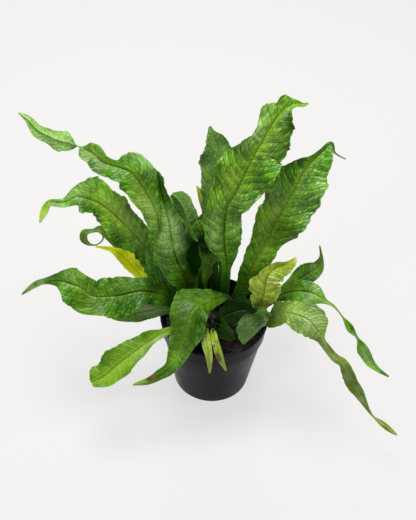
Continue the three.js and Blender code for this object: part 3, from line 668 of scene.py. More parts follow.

# The fronds: undivided, wavy, strap-shaped leaves, each grown in one piece from its stalk's foot in the
# rootstock to its tip. A blade is a thin sheet of leaf tissue, quilted between its sunken dark veins, with a
# raised rib underneath.

# Each frond has its tone, its fold, how jagged its margin is, its patches and its route. The fold is how far
# its two halves are raised from flat, in degrees. Each patch of a kind has its place along the blade and
# across it, from -1 at the left margin to 1 at the right, its length and width as shares of the blade, and
# its strength. Each row of the route is a place on the midrib from foot to tip, in millimetres, the blade's
# width to the left and to the right of it, and the compass turn and the tilt of where the upper face looks,
# in degrees. A row may end with its own folds.
# Patches of painted shade and of painted light darken and lighten a blade where shade and light fall on it.
ALL_OVER = (0.5, 0.0, 9.0, 9.0)
FRONDS = {
    "frond_tall_back": ("mid", 20, 0.15, {
        "yellow": [(0.6, -0.35, 0.07, 0.35, 0.35), (0.74, 0.0, 0.18, 0.12, 0.26),
                   (0.76, 0.15, 0.05, 0.3, 0.25)],
        "pale": [(0.4, -0.4, 0.07, 0.5, 0.5), (0.42, -0.5, 0.08, 0.35, 0.4), (0.46, 0.55, 0.07, 0.45, 0.5),
                 (0.5, 0.5, 0.08, 0.5, 0.5), (0.78, 0.5, 0.08, 0.4, 0.25), (0.8, -0.8, 0.08, 0.5, 0.9),
                 (0.85, -0.7, 0.05, 0.5, 0.45)],
        "painted_shade": [(0.2, 0.0, 0.08, 2.0, 0.5), (0.37, -0.95, 0.04, 0.35, 0.8), (0.4, 0.0, 0.09, 0.14, 0.5),
                (0.5, 0.45, 0.06, 0.5, 0.6), (0.78, 0.5, 0.05, 0.4, 0.3), (0.86, 0.8, 0.05, 0.5, 0.9)],
        "painted_light": [(0.36, 0.0, 0.08, 3.0, 0.6)],
        "quilt": [(*ALL_OVER, 1.0)],
    }, [
        (8, 10, 80, 1.6, 1.6, -90, 20), (10, 12, 127, 5, 5, -90, 20), (11, 20, 161, 6, 5, -90, 25, 34, 34),
        (8, 26, 177, 12, 15, -90, 28, 34, 34), (6, 30, 194, 23, 21, -90, 30, 30, 34),
        (6, 36, 210, 25, 19, -90, 32, 24, 34), (8, 42, 225, 22, 20, -95, 35, 18, 30),
        (17, 48, 242, 27, 23, -95, 40, 14, 20), (25, 56, 261, 32, 33, -100, 40, 12, 10),
        (35, 66, 283, 19, 29, -100, 42, 12, 8), (40, 70, 290, 13, 29, -100, 43, 14, 9),
        (44, 75, 298, 13, 28, -100, 44, 16, 10), (50, 81, 307, 17, 25, -100, 46, 18, 14),
        (55, 87, 313, 18, 21, -100, 48, 18, 16), (60, 92, 316, 11, 14, -100, 50, 14, 20),
        (66, 97, 319, 12, 6, -90, 60), (74, 103, 318, 5, 4, -80, 60), (81, 106, 315, 2.6, 2.6, -80, 60),
        (87, 109, 315, 0.8, 0.8, -80, 60),
    ]),
    "frond_right_back": ("mid", 14, 0, {
        "yellow": [(0.38, 0.2, 0.05, 0.4, 0.3), (0.5, -0.45, 0.06, 0.35, 0.4), (0.58, 0.0, 0.22, 0.12, 0.28)],
        "pale": [(0.5, 0.85, 0.06, 0.25, 0.27), (0.56, -0.5, 0.04, 0.35, 0.4), (0.6, -0.6, 0.06, 0.4, 0.35),
                 (0.62, 0.85, 0.1, 0.25, 0.27), (0.66, 0.35, 0.12, 0.5, 0.25), (0.72, 0.75, 0.06, 0.3, 0.4)],
        "painted_shade": [(0.24, 0.3, 0.1, 2.0, 0.6), (0.46, 0.2, 0.07, 0.7, 0.35), (0.78, -0.9, 0.06, 0.8, 0.5)],
        "painted_light": [(0.32, 0.0, 0.08, 3.0, 0.3), (0.66, 0.1, 0.1, 0.7, 0.25)],
        "quilt": [(*ALL_OVER, 1.0)],
    }, [
        (20, 8, 80, 1.6, 1.6, -90, 20), (25, 10, 117, 6, 6, -90, 20), (32, 16, 137, 10, 10, -90, 25),
        (42, 26, 162, 15, 15, -90, 30), (53, 37, 185, 18, 17, -90, 35), (60, 45, 200, 24, 28, -95, 37),
        (68, 53, 215, 24, 31, -100, 40), (79, 65, 236, 31, 32, -100, 40), (88, 75, 253, 17, 30, -100, 42),
        (96, 81, 262, 6, 23, -100, 44), (104, 86, 269, 4, 17, -100, 45), (114, 93, 276, 2.6, 5, -95, 50),
        (121, 98, 260, 1.0, 1.0, -80, 60), (134, 104, 248, 0.6, 0.6, -80, 60),
    ]),
    "frond_back": ("deep", 12, 0.6, {
        "pale": [(0.78, 0.0, 0.3, 3.0, 0.3), (0.85, 0.5, 0.12, 0.6, 0.4)],
        "painted_shade": [(0.45, 0.0, 0.15, 2.0, 0.25)],
    }, [
        (-4, 24, 80, 1.6, 1.6, -90, 10), (-4, 47, 138, 6, 6, -90, 10), (-8, 56, 175, 7, 9, -90, 10),
        (-11, 66, 205, 8, 11, -90, 15), (-9, 78, 228, 13, 16, -90, 20), (-4, 90, 249, 20, 17, -90, 30),
        (-5, 97, 260, 16, 13, -90, 40), (-9, 102, 268, 11, 10, -90, 40), (-12, 106, 274, 6, 3, -90, 42),
        (-15, 110, 278, 1.6, 1.6, -90, 45),
    ]),
    "frond_back_small": ("lime", 10, 0, {}, [
        (-12, 26, 80, 1.4, 1.4, -90, 10), (-10, 60, 159, 4, 4, -90, 20), (-15, 70, 189, 4, 4, -90, 20),
        (-20, 78, 206, 4, 4, -90, 25), (-26, 84, 216, 0.9, 0.9, -90, 30),
    ]),
    "frond_left_long": ("mid", 12, 0, {
        "yellow": [(0.47, -0.3, 0.1, 0.5, 0.35)],
        "pale": [(0.42, -0.4, 0.06, 0.6, 0.6), (0.56, 0.85, 0.05, 0.35, 0.6), (0.66, -0.2, 0.03, 0.5, 0.4),
                 (0.84, 0.0, 0.1, 3.0, 0.75), (1.0, 0.0, 0.08, 3.0, 0.7)],
        "painted_shade": [(0.3, 0.4, 0.08, 0.8, 0.5), (0.5, 0.0, 0.05, 0.7, 0.35), (0.6, -0.2, 0.1, 0.6, 0.25),
                (0.655, 0.0, 0.04, 1.0, 0.45), (0.73, 0.0, 0.035, 1.0, 0.45)],
        "quilt": [(*ALL_OVER, 0.3)],
    }, [
        (-16, 14, 80, 1.6, 1.6, -90, 20), (-41, 14, 124, 7, 7, -90, 20), (-51, 20, 152, 19, 10, -90, 25),
        (-57, 27, 172, 22, 13, -85, 32), (-62, 35, 188, 14, 15, -80, 36), (-68, 44, 211, 14, 19, -80, 40),
        (-81, 54, 232, 18, 23, -75, 45, 6, 12), (-95, 62, 248, 19, 22, -80, 50, 4, 14),
        (-106, 66, 251, 16, 17, -80, 50, 2, 16), (-111, 68, 251, 15, 8, -80, 50),
        (-116, 70, 251, 14, 6, -80, 50), (-126, 74, 251, 15, 8, -80, 50), (-135, 80, 255, 12, 11, -85, 50),
        (-145, 86, 257, 11, 9, -85, 50), (-153, 92, 257, 1.5, 1.5, 90, 45), (-163, 98, 256, 6, 8, 90, -40),
        (-175, 106, 252, 12, 12, 90, -45), (-188, 114, 251, 8, 9, 90, -45), (-203, 124, 252, 6, 8, 90, -45),
        (-214, 132, 259, 4, 4, 90, -45), (-225, 139, 262, 0.9, 0.9, 90, -45),
    ]),
    "frond_left_upper": ("mid", 12, 0.3, {
        "yellow": [(0.6, 0.2, 0.14, 0.7, 0.45), (0.62, 0.0, 0.2, 0.12, 0.26), (0.97, 0.0, 0.05, 3.0, 0.9)],
        "pale": [(0.44, 0.1, 0.05, 0.5, 0.35), (0.55, 0.6, 0.04, 0.3, 0.5), (0.8, 0.6, 0.05, 0.8, 0.6)],
        "painted_shade": [(0.5, -0.9, 0.1, 0.5, 0.4), (0.75, -0.3, 0.05, 0.7, 0.4)],
        "painted_light": [(0.66, -0.2, 0.05, 0.4, 0.15), (0.72, 0.4, 0.1, 0.7, 0.25)],
        "quilt": [(*ALL_OVER, 0.3)],
    }, [
        (-24, 18, 80, 1.6, 1.6, -80, 30), (-51, 22, 122, 9, 4, -80, 30), (-66, 30, 149, 16, 11, -80, 40),
        (-82, 36, 172, 16, 16, -80, 45), (-99, 38, 193, 25, 17, -80, 50), (-114, 38, 212, 19, 20, -80, 50),
        (-127, 38, 224, 14, 21, -85, 50), (-136, 37, 230, 15, 26, -85, 50), (-143, 36, 234, 18, 21, -90, 55),
        (-151, 35, 235, 11, 9, -90, 60), (-163, 31, 230, 6, 5, -100, 60), (-178, 28, 231, 5, 3, -120, 45),
        (-183, 21, 224, 4, 4, -120, 35), (-187, 13, 216, 0.8, 0.8, -120, 30),
    ]),
    "frond_left_curled": ("pale", 6, 0, {}, [
        (-30, 16, 80, 1.4, 1.4, -80, 30), (-74, 34, 124, 4, 4, -80, 30), (-102, 42, 153, 6, 6, -80, 40),
        (-125, 48, 176, 5, 5, -80, 45), (-137, 48, 176, 2.2, 2.2, -60, 70), (-146, 47, 173, 4, 4, -60, 50),
        (-147, 46, 164, 4, 4, -60, 10), (-142, 46, 157, 2.2, 2.2, -60, -10),
        (-134, 46, 156, 1.1, 1.1, -60, -30), (-127, 47, 162, 0.9, 0.9, -60, -30),
        (-126, 48, 169, 0.8, 0.8, -60, -30), (-129, 48, 176, 0.7, 0.7, -60, -30),
    ]),
    "frond_left_yellow": ("yellow", 10, 0.5, {
        "brown": [(0.5, -0.95, 0.12, 0.25, 0.5), (0.7, 0.9, 0.06, 0.3, 0.45)],
        "painted_shade": [(0.38, -0.3, 0.06, 0.5, 0.5), (0.45, -0.6, 0.03, 0.5, 0.3), (0.62, 0.5, 0.05, 0.5, 0.5),
                (0.8, -0.2, 0.05, 0.8, 0.35)],
        "quilt": [(*ALL_OVER, 0.6)],
    }, [
        (-28, 8, 80, 1.4, 1.4, -80, 30), (-73, 22, 120, 3, 3, -80, 30), (-86, 27, 136, 7, 8, -80, 40),
        (-102, 32, 154, 8, 9, -80, 45), (-114, 35, 161, 4, 3, -80, 50), (-123, 37, 161, 2.2, 2.2, -80, 50),
        (-134, 39, 161, 0.9, 0.9, -80, 50),
    ]),
    "frond_left_level": ("mid", 8, 0, {
        "pale": [(0.45, 0.7, 0.05, 0.4, 0.35), (0.74, 0.6, 0.04, 0.4, 0.4), (0.9, 0.0, 0.04, 2.0, 0.8),
                 (0.93, 0.0, 0.05, 2.0, 0.5), (0.97, 0.0, 0.08, 3.0, 0.6)],
        "painted_shade": [(0.24, 0.0, 0.1, 2.5, 0.8), (0.36, 0.0, 0.1, 3.0, 0.6), (0.46, -0.25, 0.05, 0.6, 0.4),
                (0.5, -0.3, 0.3, 1.2, 0.3), (0.62, -0.25, 0.05, 0.5, 0.5), (0.7, -0.8, 0.06, 0.5, 0.4)],
        "painted_light": [(0.66, 0.35, 0.1, 0.7, 0.18)],
        "quilt": [(*ALL_OVER, 0.3)],
    }, [
        (-14, 2, 80, 1.6, 1.6, -80, 60), (-43, -2, 120, 5, 5, -80, 60), (-58, -6, 136, 13, 15, -85, 55),
        (-79, -10, 145, 14, 15, -85, 50), (-102, -14, 141, 26, 20, -85, 50),
        (-120, -15, 138, 21, 20, -85, 48), (-133, -14, 138, 21, 18, -85, 45),
        (-146, -11, 147, 24, 15, -85, 45), (-155, -8, 148, 20, 19, -85, 45), (-163, -6, 149, 13, 14, -90, 45),
        (-172, -4, 148, 6, 8, -90, 45), (-184, -1, 143, 3, 4, -90, 45), (-196, 1, 135, 3, 4, -90, 45),
        (-211, -4, 124, 0.9, 0.9, -90, 45),
    ]),
    "frond_left_under": ("deep", 8, 0, {
        "pale": [(0.62, 0.1, 0.14, 0.6, 0.8)],
        "painted_shade": [(0.4, 0.0, 0.2, 2.0, 0.2)],
    }, [
        (-20, -6, 80, 1.4, 1.4, -80, 60), (-44, -5, 111, 4, 4, -90, 50), (-62, -3, 110, 8, 9, -90, 40),
        (-80, 2, 99, 10, 10, -90, 35), (-96, 3, 88, 6, 7, -90, 32), (-110, 2, 84, 1.1, 1.1, -90, 30),
    ]),
    "frond_front_left": ("bright", 10, 0, {
        "yellow": [(0.72, -0.2, 0.2, 0.6, 0.45)],
        "painted_shade": [(0.42, 0.0, 0.1, 3.0, 0.3), (0.53, 0.0, 0.05, 1.5, 0.35), (0.7, 0.0, 0.4, 3.0, 0.2)],
    }, [
        (-14, -10, 80, 1.6, 1.6, -90, 60), (-32, -28, 111, 4, 4, -90, 60), (-48, -40, 116, 4, 5, -100, 60),
        (-65, -52, 115, 5, 10, -110, 50), (-81, -64, 109, 10, 15, -110, 45), (-99, -74, 98, 15, 18, -110, 45),
        (-113, -82, 87, 12, 15, -110, 45), (-122, -86, 83, 8, 14, -110, 45), (-127, -88, 81, 4, 5, -110, 45),
    ]),
    "frond_front": ("mid", -10, 0, {
        "yellow": [(0.96, 0.0, 0.05, 2.0, 0.4)],
        "brown": [(0.9, 0.35, 0.03, 0.6, 1.2)],
        "pale": [(0.69, -0.5, 0.06, 0.5, 0.25)],
        "painted_shade": [(0.3, 0.0, 0.1, 2.0, 0.6), (0.59, -0.85, 0.06, 0.35, 0.7), (0.6, 0.0, 0.35, 3.0, 0.6)],
        "painted_light": [(0.76, 0.0, 0.05, 1.0, 0.8)],
    }, [
        (6, -4, 80, 1.6, 1.6, -90, 60), (14, 4, 126, 3, 4, -60, 80), (-1, -8, 137, 9, 11, -70, 70),
        (-12, -17, 141, 13, 18, -78, 62), (-19, -26, 143, 17, 28, -84, 56), (-26, -37, 140, 20, 22, -90, 50),
        (-29, -52, 130, 18, 17, -90, 40), (-35, -66, 116, 12, 13, -90, 32), (-43, -78, 104, 8, 7, -95, 30),
        (-55, -82, 92, 5, 6, -98, 36), (-67, -86, 87, 4, 4, -100, 40), (-83, -90, 84, 0.8, 0.8, -100, 40),
    ]),
    "frond_centre_left": ("mid", 30, 0, {
        "pale": [(0.52, -0.75, 0.04, 0.3, 0.3), (0.61, 0.0, 0.05, 0.45, 1.0), (0.68, -0.35, 0.07, 0.5, 1.0),
                 (0.71, 0.15, 0.07, 0.5, 1.3), (0.72, -0.3, 0.1, 0.45, 1.0), (0.73, 0.0, 0.08, 0.6, 1.2)],
        "painted_shade": [(0.34, 0.0, 0.09, 3.0, 0.9), (0.39, -0.6, 0.06, 0.6, 0.8), (0.4, 0.3, 0.08, 0.8, 0.8),
                (0.44, -0.5, 0.07, 0.9, 0.5), (0.5, -0.5, 0.07, 0.9, 0.4), (0.52, 0.8, 0.2, 0.62, 1.35),
                (0.68, -0.95, 0.1, 0.3, 0.7), (0.92, 0.0, 0.12, 3.0, 0.7)],
        "painted_light": [(0.6, 0.05, 0.05, 0.5, 0.8), (0.62, 0.1, 0.05, 0.4, 0.8), (0.66, 0.0, 0.1, 0.5, 0.5),
                (0.7, -0.3, 0.12, 0.5, 0.75)],
        "quilt": [(*ALL_OVER, 0.5)],
    }, [
        (-8, 0, 80, 1.6, 1.6, -90, 20), (-27, 0, 137, 9, 9, -80, 20), (-35, 3, 158, 16, 18, -80, 20),
        (-43, 7, 177, 22, 27, -80, 22, 22, 26), (-48, 11, 197, 25, 28, -80, 24, 24, 26),
        (-51, 16, 215, 16, 19, -80, 28, 34, 24), (-56, 22, 234, 10, 10, -80, 30, 44, 30),
        (-61, 29, 251, 5, 7, -80, 30, 44, 34), (-66, 38, 271, 0.8, 0.8, -80, 30),
    ]),
    "frond_centre_turned": ("deep", 10, 0.5, {
        "pale": [(0.8, 0.2, 0.12, 2.0, 0.4), (0.85, 0.0, 0.12, 3.0, 0.5)],
        "painted_shade": [(0.55, 0.0, 0.15, 3.0, 0.7)],
        "painted_light": [(0.75, 0.0, 0.15, 3.0, 0.9), (0.85, 0.0, 0.15, 3.0, 0.6)],
    }, [
        (-12, 10, 80, 1.5, 1.5, 90, -10), (-31, 36, 147, 6, 6, 90, -20), (-34, 45, 170, 8, 8, 90, -30),
        (-33, 52, 187, 11, 15, 90, -40), (-38, 57, 204, 12, 17, 90, -40), (-45, 60, 216, 11, 13, 90, -40),
        (-52, 62, 222, 2.1, 2.1, 90, -40),
    ]),
    "frond_centre_small": ("mid", -14, 0.5, {
        "yellow": [(0.52, 0.3, 0.06, 0.8, 0.3), (0.93, 0.3, 0.08, 3.0, 0.35)],
        "pale": [(0.86, -0.95, 0.1, 0.2, 0.6)],
        "painted_shade": [(0.55, 0.0, 0.05, 3.0, 0.5), (0.7, 0.0, 0.05, 3.0, 0.9), (0.77, 0.3, 0.035, 3.0, 1.0)],
        "painted_light": [(0.9, 0.0, 0.09, 3.0, 1.7)],
        "quilt": [(0.9, 0.0, 0.12, 9.0, 1.0)],
    }, [
        (4, 20, 80, 1.5, 1.5, -90, 30), (0, 32, 137, 3, 3, -90, 20), (-13, 42, 170, 7, 7, -90, 30),
        (-23, 46, 202, 10, 10, -90, 60), (-17, 37, 192, 10, 10, -90, 30), (-10, 35, 174, 9, 10, -90, 15),
        (-7, 34, 158, 10, 11, -90, 12), (-9, 33, 139, 7, 7, -90, 10), (-14, 32, 117, 0.9, 0.9, -90, 10),
    ]),
    "frond_yellow_folded": ("lime", 22, 1.0, {
        "yellow": [(0.6, 0.0, 0.3, 3.0, 0.55)],
        "pale": [(0.5, 0.95, 0.15, 0.2, 0.7), (0.7, 0.2, 0.05, 0.6, 0.6)],
        "painted_shade": [(0.45, -0.4, 0.1, 0.5, 0.5), (0.48, 0.0, 0.06, 3.0, 0.7), (0.55, 0.0, 0.12, 3.0, 0.35),
                (0.6, 0.75, 0.06, 0.4, 0.5), (0.62, -0.7, 0.06, 0.4, 0.4), (0.7, 0.0, 0.12, 0.12, 0.4),
                (0.86, 0.0, 0.1, 3.0, 0.55)],
        "painted_light": [(0.52, 0.1, 0.16, 0.7, 0.35)],
        "quilt": [(*ALL_OVER, 1.0)],
    }, [
        (26, -13, 80, 1.5, 1.5, -90, 20), (52, -17, 124, 3, 3, -90, 20), (51, -17, 133, 5, 5, -90, 24),
        (50, -17, 146, 12, 11, -90, 30), (52, -15, 161, 17, 16, -90, 40), (52, -12, 171, 17, 17, -92, 45),
        (55, -9, 179, 9, 17, -94, 47), (63, -4, 184, 6, 14, -97, 48), (73, 2, 183, 4, 9, -100, 50),
        (79, 8, 182, 3, 6, -100, 50), (84, 13, 184, 0.9, 0.9, -100, 50),
    ]),
    "frond_right_back_small": ("mid", 10, 0, {
        "pale": [(0.79, -0.3, 0.04, 0.5, 0.8), (0.88, 0.5, 0.06, 1.0, 0.5)],
        "painted_shade": [(0.62, 0.6, 0.1, 0.8, 0.4)],
        "painted_light": [(0.53, 0.2, 0.05, 3.0, 0.6), (0.56, 0.0, 0.06, 3.0, 0.9)],
    }, [
        (30, 6, 80, 1.5, 1.5, -90, 40), (77, 16, 134, 5, 5, -90, 45), (91, 22, 143, 11, 12, -95, 45),
        (102, 28, 148, 11, 11, -100, 45), (111, 32, 154, 7, 8, -110, 40), (113, 34, 166, 2.2, 2.2, -120, 30),
        (110, 38, 179, 0.6, 0.6, -120, 30),
    ]),
    "frond_right_trailing": ("mid", 10, 0, {
        "pale": [(0.47, 0.85, 0.07, 0.3, 0.7), (0.48, 0.0, 0.03, 1.0, 0.7), (0.55, 0.0, 0.04, 2.0, 0.4),
                 (0.745, 0.3, 0.02, 0.7, 0.7), (0.83, -0.5, 0.02, 0.7, 0.7), (0.87, 0.2, 0.06, 0.9, 0.7)],
        "painted_shade": [(0.3, 0.3, 0.05, 2.0, 0.6), (0.34, 0.0, 0.06, 2.0, 0.5), (0.4, 0.9, 0.07, 0.35, 0.7),
                (0.7, -0.5, 0.022, 0.7, 0.45), (0.79, 0.5, 0.022, 0.7, 0.45), (0.87, -0.4, 0.022, 0.7, 0.45)],
        "painted_light": [(0.34, 0.2, 0.04, 2.0, 0.8), (0.35, 0.2, 0.04, 2.0, 1.2), (0.84, 0.0, 0.08, 3.0, 0.7)],
        "quilt": [(*ALL_OVER, 0.2)],
    }, [
        (34, 4, 80, 1.5, 1.5, -90, 50), (66, -1, 135, 5, 5, -90, 50), (80, -3, 147, 12, 14, -95, 55),
        (94, -6, 153, 12, 16, -95, 55), (106, -10, 153, 10, 13, -95, 55), (117, -14, 148, 2.7, 4, -95, 60),
        (127, -18, 144, 1.4, 1.4, -90, 60), (137, -24, 135, 1.0, 1.0, -60, 45),
        (146, -30, 124, 4, 4, -60, 45), (155, -34, 113, 1.5, 1.5, -100, 45), (163, -40, 103, 5, 8, -100, 40),
        (171, -46, 91, 4, 6, -100, 40), (180, -52, 84, 2.7, 3, -95, 45), (192, -58, 80, 0.9, 0.9, -95, 45),
    ]),
    "frond_front_right_trailing": ("pale", -8, 0.4, {
        "yellow": [(0.27, 0.0, 0.06, 2.0, 0.3), (0.58, 0.0, 0.04, 2.0, 0.3), (0.74, 0.0, 0.12, 3.0, 0.18),
                   (0.78, 0.4, 0.06, 0.8, 0.4)],
        "brown": [(0.64, 0.8, 0.02, 0.4, 0.45), (0.94, 0.3, 0.03, 0.8, 0.45), (0.95, 0.3, 0.03, 0.6, 0.6)],
        "pale": [(0.25, 0.0, 0.05, 2.0, 0.2), (0.4, 0.4, 0.06, 0.6, 0.3), (0.42, 0.1, 0.04, 0.9, 0.7),
                 (0.585, 0.3, 0.016, 0.6, 0.8), (0.69, 0.4, 0.016, 0.6, 0.8), (0.745, -0.5, 0.016, 0.6, 0.8),
                 (0.795, 0.3, 0.016, 0.6, 0.8)],
        "painted_shade": [(0.2, 0.0, 0.05, 3.0, 0.5), (0.29, 0.0, 0.04, 2.0, 0.5), (0.56, -0.4, 0.018, 0.7, 0.55),
                (0.6, -0.6, 0.05, 0.8, 0.35), (0.61, 0.5, 0.018, 0.7, 0.55), (0.66, -0.5, 0.018, 0.7, 0.55),
                (0.715, 0.4, 0.018, 0.7, 0.55), (0.72, 0.2, 0.1, 3.0, 0.55), (0.77, -0.4, 0.018, 0.7, 0.55),
                (0.82, 0.5, 0.018, 0.7, 0.55)],
        "painted_light": [(0.3, 0.0, 0.1, 3.0, 0.5), (0.42, 0.1, 0.05, 1.0, 0.5)],
        "quilt": [(*ALL_OVER, 0.6)],
    }, [
        (28, -8, 80, 1.5, 1.5, -90, 60), (55, -10, 105, 4, 5, -90, 60), (64, -20, 123, 13, 10, -90, 60),
        (75, -30, 143, 15, 11, -90, 60), (87, -38, 149, 15, 16, -95, 55), (98, -44, 149, 18, 18, -100, 48),
        (107, -50, 142, 15, 14, -108, 40), (114, -56, 134, 2.6, 8, -110, 32), (120, -61, 125, 4, 5, -110, 30),
        (129, -65, 115, 4, 5, -110, 30), (137, -69, 110, 6, 4, -110, 30), (144, -73, 101, 6, 8, -112, 30),
        (152, -79, 87, 6, 8, -115, 30), (161, -85, 74, 5, 5, -115, 32), (170, -90, 61, 1.7, 2.1, -110, 38),
        (177, -94, 54, 1.1, 1.1, -100, 45), (186, -97, 48, 3, 3, -90, 50), (195, -101, 43, 2.8, 2.7, -90, 50),
        (203, -105, 39, 0.9, 0.9, -90, 50),
    ]),
    "frond_rim_right": ("deep", -10, 1.0, {
        "brown": [(0.98, -0.4, 0.03, 0.6, 0.35)],
        "pale": [(0.7, -0.9, 0.1, 0.4, 0.8), (0.8, 0.85, 0.1, 0.3, 0.7), (0.86, -0.3, 0.12, 0.9, 0.7)],
        "painted_shade": [(0.36, 0.0, 0.1, 3.0, 0.5), (0.62, 0.3, 0.14, 0.9, 0.8), (0.72, 0.9, 0.12, 0.4, 0.8),
                (0.72, -0.2, 0.16, 1.2, 0.55), (0.86, 0.0, 0.08, 3.0, 0.6)],
        "painted_light": [(0.6, 0.0, 0.06, 2.0, 0.7)],
    }, [
        (34, -22, 80, 1.4, 1.4, -90, 50), (54, -30, 138, 5, 5, -85, 40), (47, -35, 134, 10, 11, -85, 30),
        (39, -41, 129, 10, 14, -90, 25), (35, -46, 121, 6, 13, -90, 20), (32, -50, 112, 1.0, 1.0, -90, 20),
    ]),
    "frond_rim_small": ("deep", -10, 0, {
        "painted_shade": [(0.7, 0.0, 0.9, 3.0, 0.95)],
    }, [
        (10, -22, 80, 1.4, 1.4, -90, 50), (5, -27, 114, 3, 3, -90, 45), (11, -34, 114, 8, 8, -90, 40),
        (17, -39, 112, 6, 6, -90, 30), (22, -42, 110, 0.9, 0.9, -90, 30),
    ]),
    "frond_rim_dark": ("deep", 8, 0.5, {
        "pale": [(0.6, 0.0, 0.3, 0.1, 0.35)],
        "painted_shade": [(0.7, 0.0, 0.9, 3.0, 0.9)],
    }, [
        (13, -9, 80, 1.4, 1.4, -60, 60), (4, -18, 112, 4, 5, -80, 50), (11, -17, 120, 9, 11, -85, 45),
        (22, -16, 127, 15, 14, -90, 42), (33, -16, 130, 13, 12, -90, 42), (39, -16, 127, 8, 8, -90, 40),
        (44, -16, 122, 1.0, 1.0, -90, 40),
    ]),
    "frond_young_left": ("lime", 8, 0, {
        "brown": [(1.0, 0.0, 0.02, 2.0, 0.6)],
        "pale": [(0.7, 0.0, 0.4, 3.0, 0.35)],
        "painted_shade": [(0.4, 0.0, 0.1, 2.0, 0.5), (0.62, 0.0, 0.12, 3.0, 0.3), (0.7, 0.3, 0.4, 0.8, 0.4)],
    }, [
        (-4, -26, 80, 1.3, 1.3, -90, 60), (-10, -30, 113, 4, 4, -90, 50), (-8, -50, 116, 5, 5, -90, 20),
        (-4, -63, 106, 4, 4, -90, 10), (-2, -69, 84, 0.8, 0.8, -90, 10),
    ]),
    "frond_young_right": ("lime", 8, 0.8, {
        "brown": [(0.64, 0.6, 0.04, 0.6, 0.9), (0.8, 0.5, 0.08, 0.9, 1.0), (0.94, 0.0, 0.05, 0.6, 0.45)],
        "pale": [(0.9, 0.0, 0.2, 3.0, 0.3)],
        "painted_shade": [(0.4, 0.0, 0.1, 2.0, 0.5), (0.7, 0.0, 0.4, 3.0, 0.4)],
    }, [
        (4, -28, 80, 1.3, 1.3, -90, 60), (-1, -32, 111, 3, 3, -90, 50), (3, -55, 115, 4, 4, -90, 20),
        (8, -65, 106, 4, 4, -90, 10), (15, -70, 91, 0.7, 0.7, -90, 10),
    ]),
    "frond_low_back_left": ("deep", 10, 0, {}, [
        (-12, 36, 80, 1.6, 1.6, -90, 50), (-20, 50, 118, 6, 6, -95, 50), (-30, 74, 142, 14, 14, -100, 60),
        (-40, 100, 148, 17, 17, -110, 75), (-47, 126, 134, 12, 12, 110, 70), (-52, 144, 112, 1, 1, 110, 50),
    ]),
    "frond_low_back": ("mid", 10, 0, {}, [
        (6, 34, 80, 1.6, 1.6, -90, 50), (9, 50, 118, 6, 6, -90, 50), (12, 72, 141, 13, 13, -90, 60),
        (12, 98, 149, 15, 15, -90, 80), (14, 124, 137, 11, 11, 90, 70), (16, 142, 118, 1, 1, 90, 50),
    ]),
    "frond_low_back_right": ("deep", 10, 0, {}, [
        (26, 24, 80, 1.6, 1.6, -100, 50), (36, 42, 115, 6, 6, -100, 50), (46, 62, 136, 13, 13, -100, 60),
        (56, 86, 141, 16, 16, -100, 80), (64, 108, 129, 12, 12, 70, 70), (69, 122, 110, 1, 1, 70, 50),
    ]),
}
STALK_COLLAR = 16 * MM          # how far a stalk rises steeply from its foot
STALK_STEEPNESS = 0.7
STALK_THICKNESS = 2.8 * MM
STALK_ROUNDNESS = 0.88
STALK_END, BLADE_START = 0.16, 0.34     # as shares of the way from foot to tip
BLADE_THICKNESS = 0.75 * MM
MIDRIB_THICKNESS = 2.2 * MM
MIDRIB_REACH = 1.5 * MM         # half the rib's width beneath the blade
GROOVE_REACH = 1.0 * MM         # half the width of the groove above it
GROOVE_DEPTH = 0.15 * MM
FULL_RIB_BLADE = 16 * MM        # a narrower blade has a thinner rib
LEAST_WIDTH = 0.6 * MM
CUP = 0.22                      # how much more a blade rises near its rib than near its margin
WAVE_LENGTH = 41 * MM
WAVE_RISE = 0.17                # of the margin, as a share of the half blade
WAVE_SIDE = 1.9                 # how far its two margins are out of step
WAVE_SHIFT = 2.4                # from one frond to the next
SCALLOP = 0.04                  # how much wider and narrower the blade gets along its way
SCALLOP_RATE = 1.7              # for each wave
SCALLOP_SIDE = 2.1
CRUMPLE = 2.2 * MM              # how far the blade's broad hollows and swellings reach
CRUMPLE_LENGTH, CRUMPLE_WIDTH = 13 * MM, 9 * MM
VEIN_SLANT = 0.45               # how far a side vein runs on towards the tip, for each step off the midrib
VEIN_SPACING = 9.6 * MM         # between side veins on a wide blade
WIDE_BLADE = 44 * MM
CELL_WIDTH = 0.46               # of a mesh of the net, as a share of the side veins' spacing
QUILT = 0.7 * MM                # how far the blade bulges between its side veins
PUFF = 0.55 * MM                # how far each mesh of the net bulges
SMOOTHNESS = 0.35               # how much of that relief a smooth frond has
RIPPLE = 2.6 * MM               # the small waves of the margin
RIPPLE_LENGTH = 15 * MM
JAGGED_RIPPLE = 1.4             # how much higher they are on a jagged frond
CRIMP = 0.035                   # how far the margin draws in and out between its side veins
JAG = 0.05                      # how uneven the margin is cut, as a share of the half blade
JAGGED_JAG = 7                  # how much more uneven it is on a jagged frond
JAG_LENGTH = 6 * MM
FINE_STEP = 1.1 * MM            # between the stations of a blade
FEWEST_STATIONS = 60
FINE_WIDTH = 1.4 * MM           # between its points across, which are an odd number so that one is on the rib
FEWEST_ACROSS, MOST_ACROSS = 13, 41
WELD = 0.002 * MM
MM_ACROSS = 11.0                # about the millimetres of a side veins' spacing, to draw the midrib with
CROWN = (-4 * MM, 8 * MM, 92 * MM)
CROWN_PAINTED_SHADE = (32 * MM, 70 * MM)    # painted shade: the leaves are painted darkest within the first distance of the crown
YELLOWED = (0.47, 0.66, 0.07, 1)
